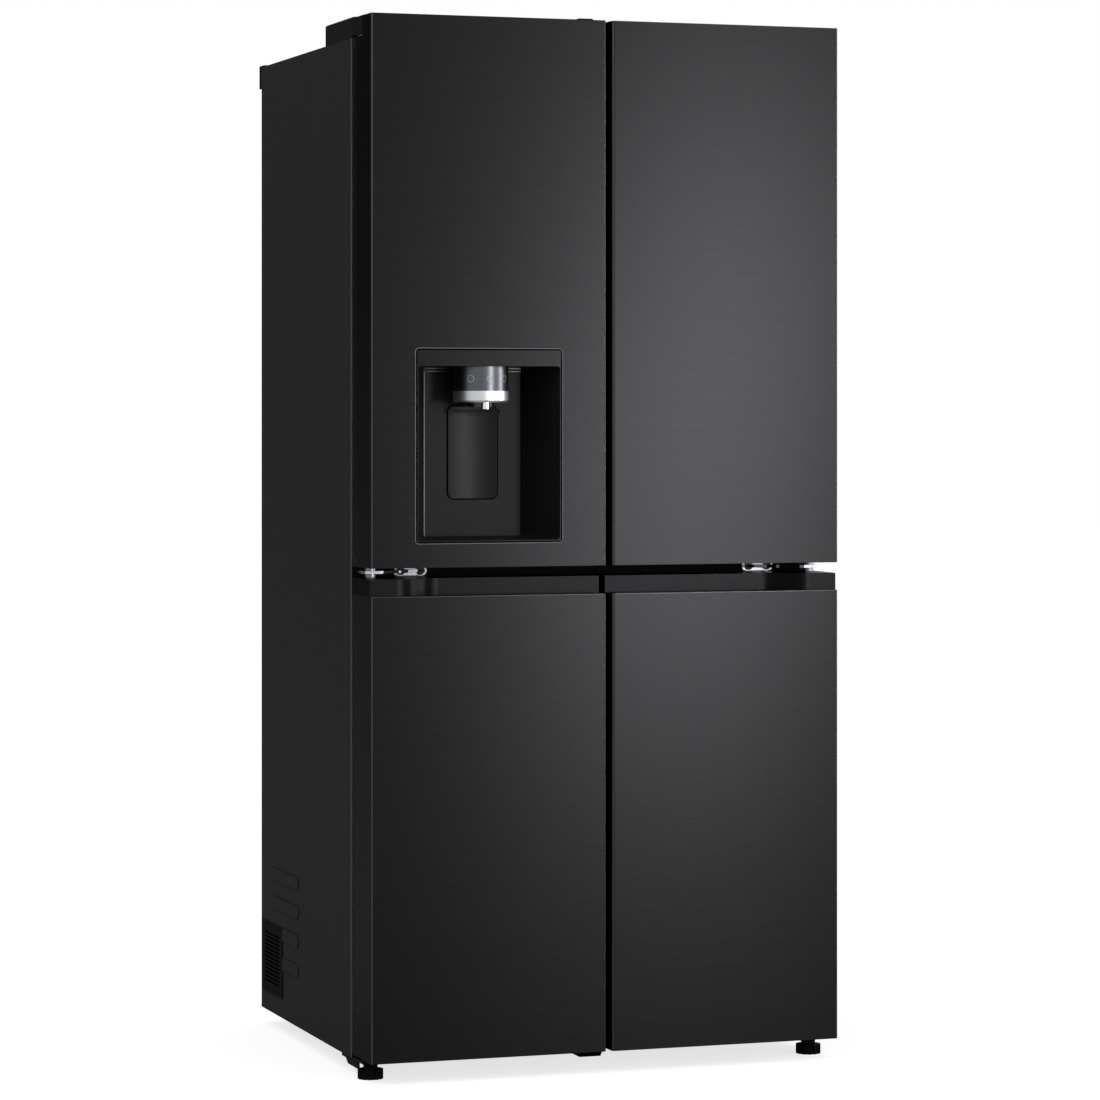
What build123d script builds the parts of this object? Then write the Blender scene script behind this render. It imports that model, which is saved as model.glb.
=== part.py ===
from build123d import *
import os

os.makedirs("parts", exist_ok=True)

# Four-door refrigerator: two doors over two, all on vertical pins at the outer edges.
# Millimetres. X to the viewer's right, the doors face -Y, Z up from the floor.
# The origin is on the floor, under the middle of the whole outline.

# Overall size over the doors, the rear cap and the guide on top
WIDTH = 835.0
DEPTH = 734.0
HEIGHT = 1787.0

# Fits
RUN_CLEARANCE = 0.05
SEAT_CLEARANCE = 0.3
MOVING_CLEARANCE = 1.5

# How far a cut runs past the face it opens
CUT_OVER = 1.0

# Cabinet shell
SHEET = 1.0
EMBOSS = 1.5
REAR_FLANGE = 18.0
CAP_PROUD = 16.0
CAP_DROP = 41.0
CAP_WALL = 2.5
BACK_RIB_MARGIN = 220.0
BACK_RIB_PITCH = 209.0
BACK_RIB_COUNT = 3
CAB_BOTTOM = 28.0
FRAME_T = 1.5
BASE_T = 1.5

# Door set: thickness, heights and the gaps between the doors
DOOR_T = 112.0
DOOR_GAP = 8.0
CENTRE_GAP = 10.6
LOWER_BOTTOM = 36.0
LOWER_PANEL_H = 771.0
GRIP_STRIP_H = 29.0
MIDDLE_GAP = 18.5
DOOR_RISE = 31.5
GUIDE_RISE = 14.5
SKIN = 1.0
SKIN_BEND = 4.0
SKIN_WRAP = 92.0
TOP_CAP_T = 50.0
BOTTOM_CAP_T = 18.0

# Insulated walls and the two compartments
LINER = 2.0
SIDE_WALL = 45.0
TOP_WALL = 48.0
BACK_WALL = 53.0
FLOOR_WALL = 82.0
PARTITION = 90.0
DIVIDER = 54.0
MACHINE_D = 221.0
MACHINE_H = 222.0
STEP_WALL = 55.0
LEDGE_W = 6.0
LEDGE_H = 5.0

# Hinges
PIN_SIDE = 22.0
PIN_FRONT = 80.0
PIN_R = 5.0
PIN_DEPTH = 12.0
ARM_R = 13.0
TOP_ARM_T = 4.0
TOP_PLATE_L = 120.0
TOP_PLATE_W = 70.0
COVER_L = 165.0
COVER_W = 95.0
COVER_H = 36.0
COVER_WALL = 2.5
COVER_R = 4.0
COVER_SHOULDER = 6.0
NOSE_R = 15.0
NOTCH_FRONT = 54.0
MIDDLE_ARM_T = 5.0
MIDDLE_PLATE_T = 4.0
MIDDLE_PLATE_W = 58.0
MIDDLE_PLATE_INSET = 80.5
MIDDLE_PLATE_H = 16.0
MIDDLE_SCREW_PITCH = 34.0
SCREW_HOLE_R = 3.0
LOWER_ARM_T = 5.0
LOWER_PLATE_W = 54.0
LOWER_PLATE_END = 209.0
LOWER_FLANGE_T = 3.0
LOWER_FLANGE_FRONT = 109.0
LOWER_FLANGE_STEP = 172.0
LOWER_FLANGE_DROP = 12.0
LOWER_FLANGE_TAIL = 4.0
COLLAR_R = 9.0

# Feet and rollers
FOOT_R = 21.5
FOOT_PAD_H = 16.0
FOOT_NECK_R = 12.0
FOOT_GRIPS = 12
FOOT_GRIP_R = 2.0
ROLLER_R = 24.0
ROLLER_W = 22.0
ROLLER_TREAD = 11.0
ROLLER_CROWN = 1.0
ROLLER_INSET = 62.0
ROLLER_FROM_BACK = 173.0
JOURNAL_R = 6.0
EAR_T = 3.0
EAR_L = 106.0
EAR_DROP = 14.0

# Ribs and grille near the rear of each side
RIB_L = 180.0
RIB_H = 23.0
RIB_PITCH = 51.5
RIB_COUNT = 4
RIB_LOW = 126.0
RIB_FROM_BACK = 168.0
GRILLE_L = 141.0
GRILLE_H = 128.0
GRILLE_LIP = 14.0
GRILLE_FRAME = 21.0
GRILLE_R = 3.0
GRILLE_MARGIN = 0.5
GRILLE_FROM_BACK = 80.5
GRILLE_Z = 126.0
GRILLE_DEPTH = 8.0
GRILLE_SLOTS = 13
GRILLE_SLOT_H = 3.6

# Centre guide on top and centre bracket below
GUIDE_W = 36.0
GUIDE_L = 34.0
GUIDE_BEVEL = 6.0
BRACKET_W = 38.0
BRACKET_FRONT = 90.0
BRACKET_UNDER = 30.0
BRACKET_DROP = 16.0

# Pocket grip of the lower doors, sizes from the outer edge and from the front
GRIP_SET_BACK = 38.0
GRIP_OUTER_SET_BACK = 11.0
GRIP_CURVE_INSET = 47.5
GRIP_CURVE_L = 80.0
GRIP_POCKET_DEPTH = 35.0
GRIP_WALL = 2.5
GRIP_END = 24.0

# Dispenser in the upper left door
DISP_INNER = 78.7
DISP_W = 256.0
DISP_BOTTOM = 40.8
DISP_H = 323.0
BEZEL_STRIP = 29.0
BEZEL_EDGE = 4.0
BEZEL_T = 3.0
BEZEL_R = 5.0
WINDOW_GAP = 1.5
RECESS_DEPTH = 95.0
RECESS_BACK_W = 171.0
RECESS_FLOOR_RISE = 4.0
RECESS_BACK_R = 5.0
HOUSING_WALL = 2.5
LAMP_L = 39.0
LAMP_H = 2.6
LAMP_PITCH = 5.0
LAMP_DROP = 9.0
LAMP_PROUD = 5.0
SPOUT_R = 46.0
SPOUT_H = 41.0
SPOUT_BACK = 47.4
RING_R = 47.0
RING_H = 19.0
RING_BEVEL = 2.0
RING_BEVEL_H = 3.0
NOZZLE_R = 27.0
NOZZLE_DROP = 8.0
NOZZLE_TAPER = 5.0
PADDLE_W = 87.0
PADDLE_H = 156.0
PADDLE_T = 5.0
PADDLE_LOW = 112.5
PADDLE_R = 10.0
PADDLE_GAP = 2.0
PADDLE_PIN_R = 3.0
PADDLE_PIN_DROP = 9.0
PADDLE_POCKET = 24.0
PADDLE_MARK_L = 25.0
PADDLE_MARK_H = 2.2
PADDLE_MARK_D = 1.2
PADDLE_MARK_DROP = 14.5
POCKET_WALL = 4.0

# Inner doors
DIKE_MARGIN = 24.0
DIKE_INNER = 66.0
DIKE_END = 15.0
DIKE_W = 22.0
DIKE_DEPTH = 40.0
LOWER_DIKE_DEPTH = 18.0
GASKET_W = 14.0
GASKET_EDGE = 4.0
GASKET_END = 9.0
GASKET_BASE = 3.0
BEAD_W = 8.0
BEAD_R = 3.0
BIN_WALL = 2.5
BIN_H = 88.0
BIN_REACH = 110.0
BIN_R = 12.0
BIN_BOW = 12.0
RIGHT_BINS = 4
LEFT_BINS = 2
ICE_REACH = 95.0
ICE_WALL = 5.0
ICE_GAP = 24.0
ICE_R = 10.0
ICE_SEAM = 18.0
ICE_SEAM_W = 2.0
ICE_SEAM_D = 1.5
ICE_LATCH_W = 20.0
ICE_LATCH_H = 70.0
ICE_LATCH_T = 8.0
ICE_LATCH_R = 8.0

# Centre flap on the upper left door, stored folded back
FLAP_T = 24.0
FLAP_L = 68.0
FLAP_X = 40.0
FLAP_R = 4.0
FLAP_SET_BACK = 0.5
FLAP_PIN_R = 4.0
LUG_T = 8.0
LUG_R = 11.0

# Shelves and drawers
SHELF_T = 5.0
SHELF_R = 8.0
SHELF_FRONT = 257.0
SHELF_BACK_GAP = 26.0
SHELF_COUNT = 2
CRISPER_H = 165.0
CRISPER_GAP = 4.0
DRAWER_WALL = 2.5
DRAWER_R = 14.0
DRAWER_ROWS = 3
DRAWER_FRONT = 160.0
PULL_D = 14.0
PULL_H = 22.0
DRAWER_GAP = 12.0
RIM_H = 6.0
DUCT_W = 300.0
DUCT_T = 20.0
DUCT_R = 10.0
DUCT_SLOTS = 4
DUCT_SLOT_L = 75.0
DUCT_SLOT_H = 10.0
DUCT_SLOT_D = 10.0

# Cold and machine parts
EVAP_SPACE = 80.0
EVAP_COVER_T = 2.5
EVAP_W = 560.0
EVAP_H = 200.0
EVAP_T = 40.0
EVAP_INLETS = 6
EVAP_OUTLETS = 5
FIN_COUNT = 22
FIN_T = 1.5
FIN_PROUD = 6.0
TUBE_R = 5.0
TUBE_COUNT = 4
TUBE_OVERHANG = 8.0
FAN_R = 62.0
FAN_HUB_R = 24.0
FAN_HUB_L = 22.0
FAN_BLADES = 7
BLADE_T = 2.0
BLADE_PITCH = 32.0
BLADE_ROOT_PITCH = 50.0
BLADE_CHORD = 22.0
SHAFT_R = 3.0
SHAFT_L = 18.0
MOTOR_R = 22.0
MOTOR_L = 26.0
SPIDER_W = 8.0
SHROUD_T = 6.0
SHROUD_SIZE = 185.0
CONDENSER_L = 150.0
CONDENSER_W = 170.0
CONDENSER_H = 165.0
COMPRESSOR_R = 88.0
COMPRESSOR_H = 185.0
COMPRESSOR_DOME = 52.0
COMPRESSOR_BEVEL = 17.0
COMPRESSOR_BASE = 180.0
COMPRESSOR_BASE_T = 3.0
COMPRESSOR_FOOT_H = 14.0
COMPRESSOR_FOOT_PITCH = 144.0
PAN_L = 190.0
PAN_W = 170.0
PAN_H = 38.0
PAN_WALL = 2.0
PAN_R = 14.0
PAN_GAP = 12.0
PAN_INSET = 84.0
VENT_SLOTS = 9
VENT_SLOT_L = 90.0
VENT_SLOT_H = 6.0
VENT_PITCH = 16.0
VENT_COLUMNS = 5
GLAND_R = 11.0
GLAND_L = 6.0
INLET_R = 13.0

# Planes and levels that follow from the sizes above
FRONT = -DEPTH / 2
BACK = DEPTH / 2
CAB_FRONT = FRONT + DOOR_T + DOOR_GAP
CAB_BACK = BACK - CAP_PROUD
CAB_HALF = WIDTH / 2 - EMBOSS
DOOR_REAR = FRONT + DOOR_T
UPPER_TOP = HEIGHT - GUIDE_RISE
CAB_TOP = UPPER_TOP - DOOR_RISE
PANEL_TOP = LOWER_BOTTOM + LOWER_PANEL_H
LOWER_TOP = PANEL_TOP + GRIP_STRIP_H
UPPER_BOTTOM = LOWER_TOP + MIDDLE_GAP
MIDDLE_Z = (LOWER_TOP + UPPER_BOTTOM) / 2
OUTER_X = WIDTH / 2
INNER_X = CENTRE_GAP / 2
PIN_X = OUTER_X - PIN_SIDE
PIN_Y = FRONT + PIN_FRONT
FRIDGE_HALF = CAB_HALF - SIDE_WALL - LINER
FRIDGE_FLOOR = MIDDLE_Z + PARTITION / 2
FRIDGE_TOP = CAB_TOP - TOP_WALL - LINER
FREEZER_TOP = MIDDLE_Z - PARTITION / 2
FREEZER_FLOOR = CAB_BOTTOM + FLOOR_WALL
CAVITY_BACK = CAB_BACK - BACK_WALL - LINER
LINER_FRONT = CAB_FRONT + FRAME_T
BASE_TOP = CAB_BOTTOM + BASE_T
MACHINE_FRONT = CAB_BACK - MACHINE_D
MACHINE_TOP = CAB_BOTTOM + MACHINE_H
STEP_Y = MACHINE_FRONT - STEP_WALL
STEP_Z = MACHINE_TOP + STEP_WALL
EVAP_FACE = CAVITY_BACK - EVAP_SPACE
BACK_INSIDE = CAB_BACK - 2 * SHEET
NOTCH_FLOOR = CAB_TOP - MOVING_CLEARANCE
DIKE_OUTER = FRIDGE_HALF - DIKE_MARGIN
DIKE_LOW = FRIDGE_FLOOR + DIKE_END
DIKE_HIGH = FRIDGE_TOP - DIKE_END
DIKE_REAR = DOOR_REAR + DIKE_DEPTH
FLAP_Y = CAB_FRONT + FLAP_T / 2 + FLAP_SET_BACK
DISP_X = -INNER_X - DISP_INNER - DISP_W / 2
DISP_LOW = UPPER_BOTTOM + DISP_BOTTOM
DISP_HIGH = DISP_LOW + DISP_H
RECESS_W = DISP_W - 2 * BEZEL_EDGE
RECESS_LOW = DISP_LOW + BEZEL_EDGE
RECESS_HIGH = DISP_HIGH - BEZEL_STRIP
RECESS_FRONT = FRONT + BEZEL_T
RECESS_BACK = FRONT + RECESS_DEPTH
PADDLE_BOTTOM = UPPER_BOTTOM + PADDLE_LOW
PADDLE_TOP = PADDLE_BOTTOM + PADDLE_H
PADDLE_PIN_Z = PADDLE_TOP - PADDLE_PIN_DROP
POCKET_BACK = RECESS_BACK + PADDLE_POCKET
CRISPER_TOP = FRIDGE_FLOOR + CRISPER_H
SHELF_PITCH = (FRIDGE_TOP - CRISPER_TOP) / (SHELF_COUNT + 1)
SHELF_LEVELS = [CRISPER_TOP + i * SHELF_PITCH for i in range(SHELF_COUNT + 1)]
DRAWER_ROW_H = (FREEZER_TOP - STEP_Z) / (DRAWER_ROWS - 1)
GRILLE_Y = CAB_BACK - GRILLE_FROM_BACK
ROLLER_X = CAB_HALF - ROLLER_INSET
ROLLER_Y = CAB_BACK - ROLLER_FROM_BACK
RIB_Y = CAB_BACK - RIB_FROM_BACK
MIDDLE_PLATE_X = PIN_X - MIDDLE_PLATE_INSET
GRIP_CURVE_END = OUTER_X - GRIP_CURVE_INSET
GRIP_CURVE_START = GRIP_CURVE_END - GRIP_CURVE_L


def block(x, y, z, mode=Mode.ADD):
    """A box between two limits along each axis."""
    with Locations((sum(x) / 2, sum(y) / 2, sum(z) / 2)):
        Box(abs(x[1] - x[0]), abs(y[1] - y[0]), abs(z[1] - z[0]), mode=mode)


def rod(centre, radius, low, high, plane=Plane.XY, mode=Mode.ADD):
    """A cylinder along a plane's normal, from one level to another."""
    with BuildSketch(plane.offset(low)) as end:
        with Locations(centre):
            Circle(radius)
    extrude(end.sketch, amount=high - low, mode=mode)


def rectangle(x, y):
    """A rectangle between two limits, for the sketch in hand."""
    with Locations((sum(x) / 2, sum(y) / 2)):
        Rectangle(abs(x[1] - x[0]), abs(y[1] - y[0]))


def open_box(x, y, z, wall, radius):
    """A box with rounded upright corners, open at the top."""
    centre = (sum(x) / 2, sum(y) / 2)
    size = (abs(x[1] - x[0]), abs(y[1] - y[0]))
    with BuildSketch(Plane.XY.offset(z[0])) as outside:
        with Locations(centre):
            RectangleRounded(*size, radius)
    extrude(outside.sketch, amount=z[1] - z[0])
    with BuildSketch(Plane.XY.offset(z[0] + wall)) as inside:
        with Locations(centre):
            RectangleRounded(size[0] - 2 * wall, size[1] - 2 * wall, radius - wall)
    extrude(inside.sketch, amount=z[1] - z[0], mode=Mode.SUBTRACT)


def tray_outline(x, y, inset):
    """Plan of a door bin: straight at the door, bowed at the front, drawn in by an inset."""
    left, right = x[0] + inset, x[1] - inset
    door, front = y[0] + inset, y[1] - inset
    corner = front - BIN_BOW
    with BuildSketch(mode=Mode.PRIVATE) as outline:
        with BuildLine():
            Polyline((left, corner), (left, door), (right, door), (right, corner))
            ThreePointArc((right, corner), ((left + right) / 2, front), (left, corner))
        make_face()
        fillet(outline.vertices(), BIN_R - inset)
    return outline.sketch


def tray(x, y, low):
    """An open door bin with a bowed front."""
    outside = tray_outline(x, y, 0)
    inside = tray_outline(x, y, BIN_WALL)
    extrude(outside.moved(Location((0, 0, low))), amount=BIN_H)
    extrude(inside.moved(Location((0, 0, low + BIN_WALL))), amount=BIN_H, mode=Mode.SUBTRACT)


def pull_lip(x, y, top):
    """A lip along the front of a drawer, turned down for the fingers."""
    tip = y - PULL_D
    with BuildSketch(Plane.YZ.offset(x[0] + DRAWER_R)) as section:
        with BuildLine():
            Polyline(
                (y, top),
                (tip, top),
                (tip, top - PULL_H),
                (tip + DRAWER_WALL, top - PULL_H),
                (tip + DRAWER_WALL, top - DRAWER_WALL),
                (y, top - DRAWER_WALL),
                close=True,
            )
        make_face()
    extrude(section.sketch, amount=x[1] - x[0] - 2 * DRAWER_R)


def upright(y):
    """The upright plane that faces the viewer, at a given depth."""
    return Plane.XZ.offset(-y)


def save(builder, name):
    """Label a finished piece and write it to its own file."""
    builder.part.label = name
    export_step(builder.part, f"parts/{name}.step")


# Side panels: one folded sheet each, with pressed ribs and the opening behind the grille
for side, name in ((-1, "left"), (1, "right")):
    web = (side * (CAB_HALF - SHEET), side * CAB_HALF)
    with BuildPart() as side_panel:
        with BuildSketch(Plane.XY.offset(CAB_BOTTOM)):
            rectangle(web, (CAB_FRONT, CAB_BACK))
            front_flange = (side * (CAB_HALF - SIDE_WALL), side * CAB_HALF)
            rear_flange = (side * (CAB_HALF - REAR_FLANGE), side * CAB_HALF)
            rectangle(front_flange, (CAB_FRONT, CAB_FRONT + SHEET))
            rectangle(rear_flange, (CAB_BACK - SHEET, CAB_BACK))
        extrude(amount=CAB_TOP - CAB_BOTTOM)
        with BuildSketch(Plane.YZ.offset(side * CAB_HALF)):
            for row in range(RIB_COUNT):
                with Locations((RIB_Y, RIB_LOW + row * RIB_PITCH)):
                    SlotOverall(RIB_L, RIB_H)
            with Locations((GRILLE_Y, GRILLE_Z)):
                Rectangle(GRILLE_L + 2 * GRILLE_MARGIN, GRILLE_H + 2 * GRILLE_MARGIN, mode=Mode.SUBTRACT)
        extrude(amount=side * EMBOSS)
        with BuildSketch(Plane.YZ.offset(side * CAB_HALF)):
            with Locations((GRILLE_Y, GRILLE_Z)):
                Rectangle(GRILLE_L - GRILLE_LIP, GRILLE_H - GRILLE_LIP)
        extrude(amount=-side * SHEET, mode=Mode.SUBTRACT)
    save(side_panel, f"side_panel_{name}")

# Side grilles: a lip on the sheet, a body through it and a row of level slots
with BuildPart() as side_grilles:
    for side in (-1, 1):
        with BuildSketch(Plane.YZ.offset(side * CAB_HALF)):
            with Locations((GRILLE_Y, GRILLE_Z)):
                RectangleRounded(GRILLE_L, GRILLE_H, GRILLE_R)
        extrude(amount=side * EMBOSS)
        with BuildSketch(Plane.YZ.offset(side * CAB_HALF)):
            with Locations((GRILLE_Y, GRILLE_Z)):
                body_margin = GRILLE_LIP + SEAT_CLEARANCE
                Rectangle(GRILLE_L - body_margin, GRILLE_H - body_margin)
        extrude(amount=-side * GRILLE_DEPTH)
        slot_room = (GRILLE_L - 2 * GRILLE_FRAME, GRILLE_H - 2 * GRILLE_FRAME)
        with BuildSketch(Plane.YZ.offset(side * (CAB_HALF + EMBOSS))):
            with Locations((GRILLE_Y, GRILLE_Z)):
                with GridLocations(0, slot_room[1] / (GRILLE_SLOTS - 1), 1, GRILLE_SLOTS):
                    Rectangle(slot_room[0], GRILLE_SLOT_H)
        extrude(amount=-side * (GRILLE_DEPTH + EMBOSS), mode=Mode.SUBTRACT)
save(side_grilles, "side_grilles")

# Top panel with its front turned down
with BuildPart() as top_panel:
    with BuildSketch(Plane.YZ):
        rectangle((CAB_FRONT + SHEET, BACK_INSIDE), (CAB_TOP - SHEET, CAB_TOP))
    extrude(amount=CAB_HALF - SHEET, both=True)
    with BuildSketch(Plane.YZ):
        rectangle((CAB_FRONT, CAB_FRONT + SHEET), (CAB_TOP - TOP_WALL, CAB_TOP))
    extrude(amount=CAB_HALF - SIDE_WALL, both=True)
save(top_panel, "top_panel")

# Back panel with pressed stiffening ribs
with BuildPart() as back_panel:
    back_x = (-CAB_HALF + SHEET, CAB_HALF - SHEET)
    block(back_x, (BACK_INSIDE, BACK_INSIDE + SHEET), (MACHINE_TOP, CAB_TOP - SHEET))
    with BuildSketch(upright(BACK_INSIDE + SHEET)):
        with Locations((0, (MACHINE_TOP + CAB_TOP) / 2)):
            with GridLocations(BACK_RIB_PITCH, 0, BACK_RIB_COUNT, 1):
                SlotOverall(CAB_TOP - MACHINE_TOP - 2 * BACK_RIB_MARGIN, RIB_H, rotation=90)
    extrude(amount=-SHEET)
save(back_panel, "back_panel")

# Rear cap: a moulded strip across the back at the top, hollow behind and closed at both ends
with BuildPart() as rear_top_cap:
    with BuildSketch(Plane.YZ):
        with BuildLine():
            Polyline(
                (CAB_BACK, CAB_TOP - CAP_DROP),
                (BACK, CAB_TOP - CAP_DROP + CAP_WALL),
                (BACK, CAB_TOP + CAP_WALL),
                (CAB_BACK - REAR_FLANGE, CAB_TOP + CAP_WALL),
                (CAB_BACK - REAR_FLANGE, CAB_TOP),
                (CAB_BACK, CAB_TOP),
                close=True,
            )
        make_face()
    extrude(amount=CAB_HALF, both=True)
    with BuildSketch(Plane.YZ):
        rectangle((CAB_BACK, BACK - CAP_WALL), (CAB_TOP - CAP_DROP + 2 * CAP_WALL, CAB_TOP))
    extrude(amount=CAB_HALF - CAP_WALL, both=True, mode=Mode.SUBTRACT)
save(rear_top_cap, "rear_top_cap")

# Front frame: rail between the compartments, post between the freezer doors, rail at the bottom
with BuildPart() as front_frame:
    frame_half = CAB_HALF - SIDE_WALL
    with BuildSketch(upright(CAB_FRONT)):
        rectangle((-frame_half, frame_half), (FREEZER_TOP, FRIDGE_FLOOR))
        rectangle((-DIVIDER / 2, DIVIDER / 2), (CAB_BOTTOM, FRIDGE_FLOOR))
        rectangle((-frame_half, frame_half), (CAB_BOTTOM, FREEZER_FLOOR))
    extrude(amount=-FRAME_T)
save(front_frame, "front_frame")

# Base: floor sheet, wall and roof of the machine compartment, ears for the rollers
ear_span = (ROLLER_W / 2 + MOVING_CLEARANCE, ROLLER_W / 2 + MOVING_CLEARANCE + EAR_T)
with BuildPart() as base_pan:
    base_half = CAB_HALF - SHEET
    with BuildSketch(Plane.YZ):
        rectangle((LINER_FRONT, CAB_BACK - SHEET), (CAB_BOTTOM, BASE_TOP))
        rectangle((MACHINE_FRONT, MACHINE_FRONT + BASE_T), (CAB_BOTTOM, MACHINE_TOP))
        rectangle((MACHINE_FRONT, BACK_INSIDE), (MACHINE_TOP - BASE_T, MACHINE_TOP))
    extrude(amount=base_half, both=True)
    for side in (-1, 1):
        x = side * ROLLER_X
        well_x = (x - ear_span[0], x + ear_span[0])
        well_half = ROLLER_R + MOVING_CLEARANCE
        well_y = (ROLLER_Y - well_half, ROLLER_Y + well_half)
        block(well_x, well_y, (CAB_BOTTOM, BASE_TOP), Mode.SUBTRACT)
        for ear in (-1, 1):
            inner = x + ear * ear_span[0]
            with BuildSketch(Plane.YZ.offset(inner)):
                with BuildLine():
                    Polyline(
                        (ROLLER_Y - EAR_L / 2, CAB_BOTTOM),
                        (ROLLER_Y - ROLLER_R, CAB_BOTTOM - EAR_DROP),
                        (ROLLER_Y + ROLLER_R, CAB_BOTTOM - EAR_DROP),
                        (ROLLER_Y + EAR_L / 2, CAB_BOTTOM),
                        (ROLLER_Y + ROLLER_R, CAB_BOTTOM),
                        (ROLLER_Y + ROLLER_R, CAB_BOTTOM + EAR_DROP),
                        (ROLLER_Y - ROLLER_R, CAB_BOTTOM + EAR_DROP),
                        (ROLLER_Y - ROLLER_R, CAB_BOTTOM),
                        close=True,
                    )
                make_face()
            extrude(amount=ear * EAR_T)
        journal_bore = (x - ear_span[1], x + ear_span[1])
        rod((ROLLER_Y, ROLLER_R), JOURNAL_R + RUN_CLEARANCE, *journal_bore, Plane.YZ, Mode.SUBTRACT)
save(base_pan, "base_pan")


def freezer_profile(inset, back):
    """Side view of the freezer cavity with its step over the machine compartment, grown by an inset."""
    with BuildLine() as outline:
        Polyline(
            (LINER_FRONT, FREEZER_FLOOR - inset),
            (STEP_Y + inset, FREEZER_FLOOR - inset),
            (STEP_Y + inset, STEP_Z - inset),
            (back + inset, STEP_Z - inset),
            (back + inset, FREEZER_TOP + inset),
            (LINER_FRONT, FREEZER_TOP + inset),
            close=True,
        )
    make_face(outline.edges())


# Fridge liner: moulded box, open at the front, with ledges under the shelves
shelf_y = (FRONT + SHELF_FRONT, CAVITY_BACK - SHELF_BACK_GAP)
with BuildPart() as fridge_liner:
    block((-FRIDGE_HALF - LINER, FRIDGE_HALF + LINER), (LINER_FRONT, CAVITY_BACK + LINER),
          (FRIDGE_FLOOR - LINER, FRIDGE_TOP + LINER))
    block((-FRIDGE_HALF, FRIDGE_HALF), (LINER_FRONT, CAVITY_BACK), (FRIDGE_FLOOR, FRIDGE_TOP), Mode.SUBTRACT)
    for level in SHELF_LEVELS:
        for side in (-1, 1):
            block((side * (FRIDGE_HALF - LEDGE_W), side * FRIDGE_HALF), shelf_y, (level - LEDGE_H, level))
save(fridge_liner, "fridge_liner")

# Freezer liner: stepped box with runner ledges for the upper drawers
drawer_tops = [STEP_Z + (row + 1) * DRAWER_ROW_H - DRAWER_GAP for row in range(DRAWER_ROWS - 1)]
ledge_levels = [top - RIM_H for top in drawer_tops]
drawer_y = (FRONT + DRAWER_FRONT, EVAP_FACE - DRAWER_GAP)
with BuildPart() as freezer_liner:
    with BuildSketch(Plane.YZ):
        freezer_profile(LINER, CAVITY_BACK)
    extrude(amount=FRIDGE_HALF + LINER, both=True)
    with BuildSketch(Plane.YZ):
        freezer_profile(0, CAVITY_BACK)
    extrude(amount=FRIDGE_HALF, both=True, mode=Mode.SUBTRACT)
    for level in ledge_levels:
        for side in (-1, 1):
            block((side * (FRIDGE_HALF - LEDGE_W), side * FRIDGE_HALF), drawer_y, (level - LEDGE_H, level))
save(freezer_liner, "freezer_liner")

# Freezer divider: insulated wall between the two columns of drawers
with BuildPart() as freezer_divider:
    with BuildSketch(Plane.YZ):
        freezer_profile(0, EVAP_FACE)
    extrude(amount=DIVIDER / 2, both=True)
    for level in ledge_levels:
        for side in (-1, 1):
            block((side * DIVIDER / 2, side * (DIVIDER / 2 + LEDGE_W)), drawer_y, (level - LEDGE_H, level))
save(freezer_divider, "freezer_divider")

# Insulation: fills the shell round both liners and over the machine compartment
with BuildPart() as cabinet_foam:
    with BuildSketch(Plane.YZ):
        with BuildLine():
            Polyline(
                (LINER_FRONT, BASE_TOP),
                (MACHINE_FRONT, BASE_TOP),
                (MACHINE_FRONT, MACHINE_TOP),
                (BACK_INSIDE, MACHINE_TOP),
                (BACK_INSIDE, CAB_TOP - SHEET),
                (LINER_FRONT, CAB_TOP - SHEET),
                close=True,
            )
        make_face()
    extrude(amount=CAB_HALF - SHEET, both=True)
    block((-FRIDGE_HALF - LINER, FRIDGE_HALF + LINER), (LINER_FRONT, CAVITY_BACK + LINER),
          (FRIDGE_FLOOR - LINER, FRIDGE_TOP + LINER), Mode.SUBTRACT)
    with BuildSketch(Plane.YZ):
        freezer_profile(LINER, CAVITY_BACK)
    extrude(amount=FRIDGE_HALF + LINER, both=True, mode=Mode.SUBTRACT)
save(cabinet_foam, "cabinet_foam")

# Top hinges: a plate on the cabinet top, an arm over the door notch and a pin down into the door
with BuildPart() as top_hinges:
    for side in (-1, 1):
        plate_x = sorted((side * (PIN_X - TOP_PLATE_W + ARM_R), side * (PIN_X + ARM_R)))
        with BuildSketch(Plane.XY.offset(CAB_TOP)):
            rectangle(plate_x, (CAB_FRONT + COVER_WALL, CAB_FRONT + TOP_PLATE_L))
            arm_x = (side * (PIN_X - ARM_R), side * (PIN_X + ARM_R))
            rectangle(arm_x, (PIN_Y, CAB_FRONT + TOP_PLATE_L))
            with Locations((side * PIN_X, PIN_Y)):
                Circle(ARM_R)
        extrude(amount=TOP_ARM_T)
        rod((side * PIN_X, PIN_Y), PIN_R, NOTCH_FLOOR - PIN_DEPTH, CAB_TOP)
save(top_hinges, "top_hinges")

# Hinge covers: shells over the top hinges, with a round nose that stays inside the door notch
nose_low = CAB_TOP + TOP_ARM_T + SEAT_CLEARANCE


def cover_outline(side, inset):
    """Plan of a hinge cover: flush with the side, drawn in at a shoulder to the nose round the pin."""
    outer = CAB_HALF - inset
    inner = CAB_HALF - COVER_W + inset
    nose = NOSE_R - inset
    nose_start = (side * (PIN_X - nose), PIN_Y)
    nose_tip = (side * PIN_X, PIN_Y - nose)
    nose_end = (side * (PIN_X + nose), PIN_Y)
    with BuildLine() as outline:
        Polyline(
            nose_end,
            (side * (PIN_X + nose), CAB_FRONT - COVER_SHOULDER + inset),
            (side * outer, CAB_FRONT + inset),
            (side * outer, CAB_FRONT + COVER_L - inset),
            (side * inner, CAB_FRONT + COVER_L - inset),
            (side * inner, CAB_FRONT + inset),
            (side * (PIN_X - nose), CAB_FRONT + inset),
            nose_start,
        )
        ThreePointArc(nose_start, nose_tip, nose_end)
    make_face(outline.edges())


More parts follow.
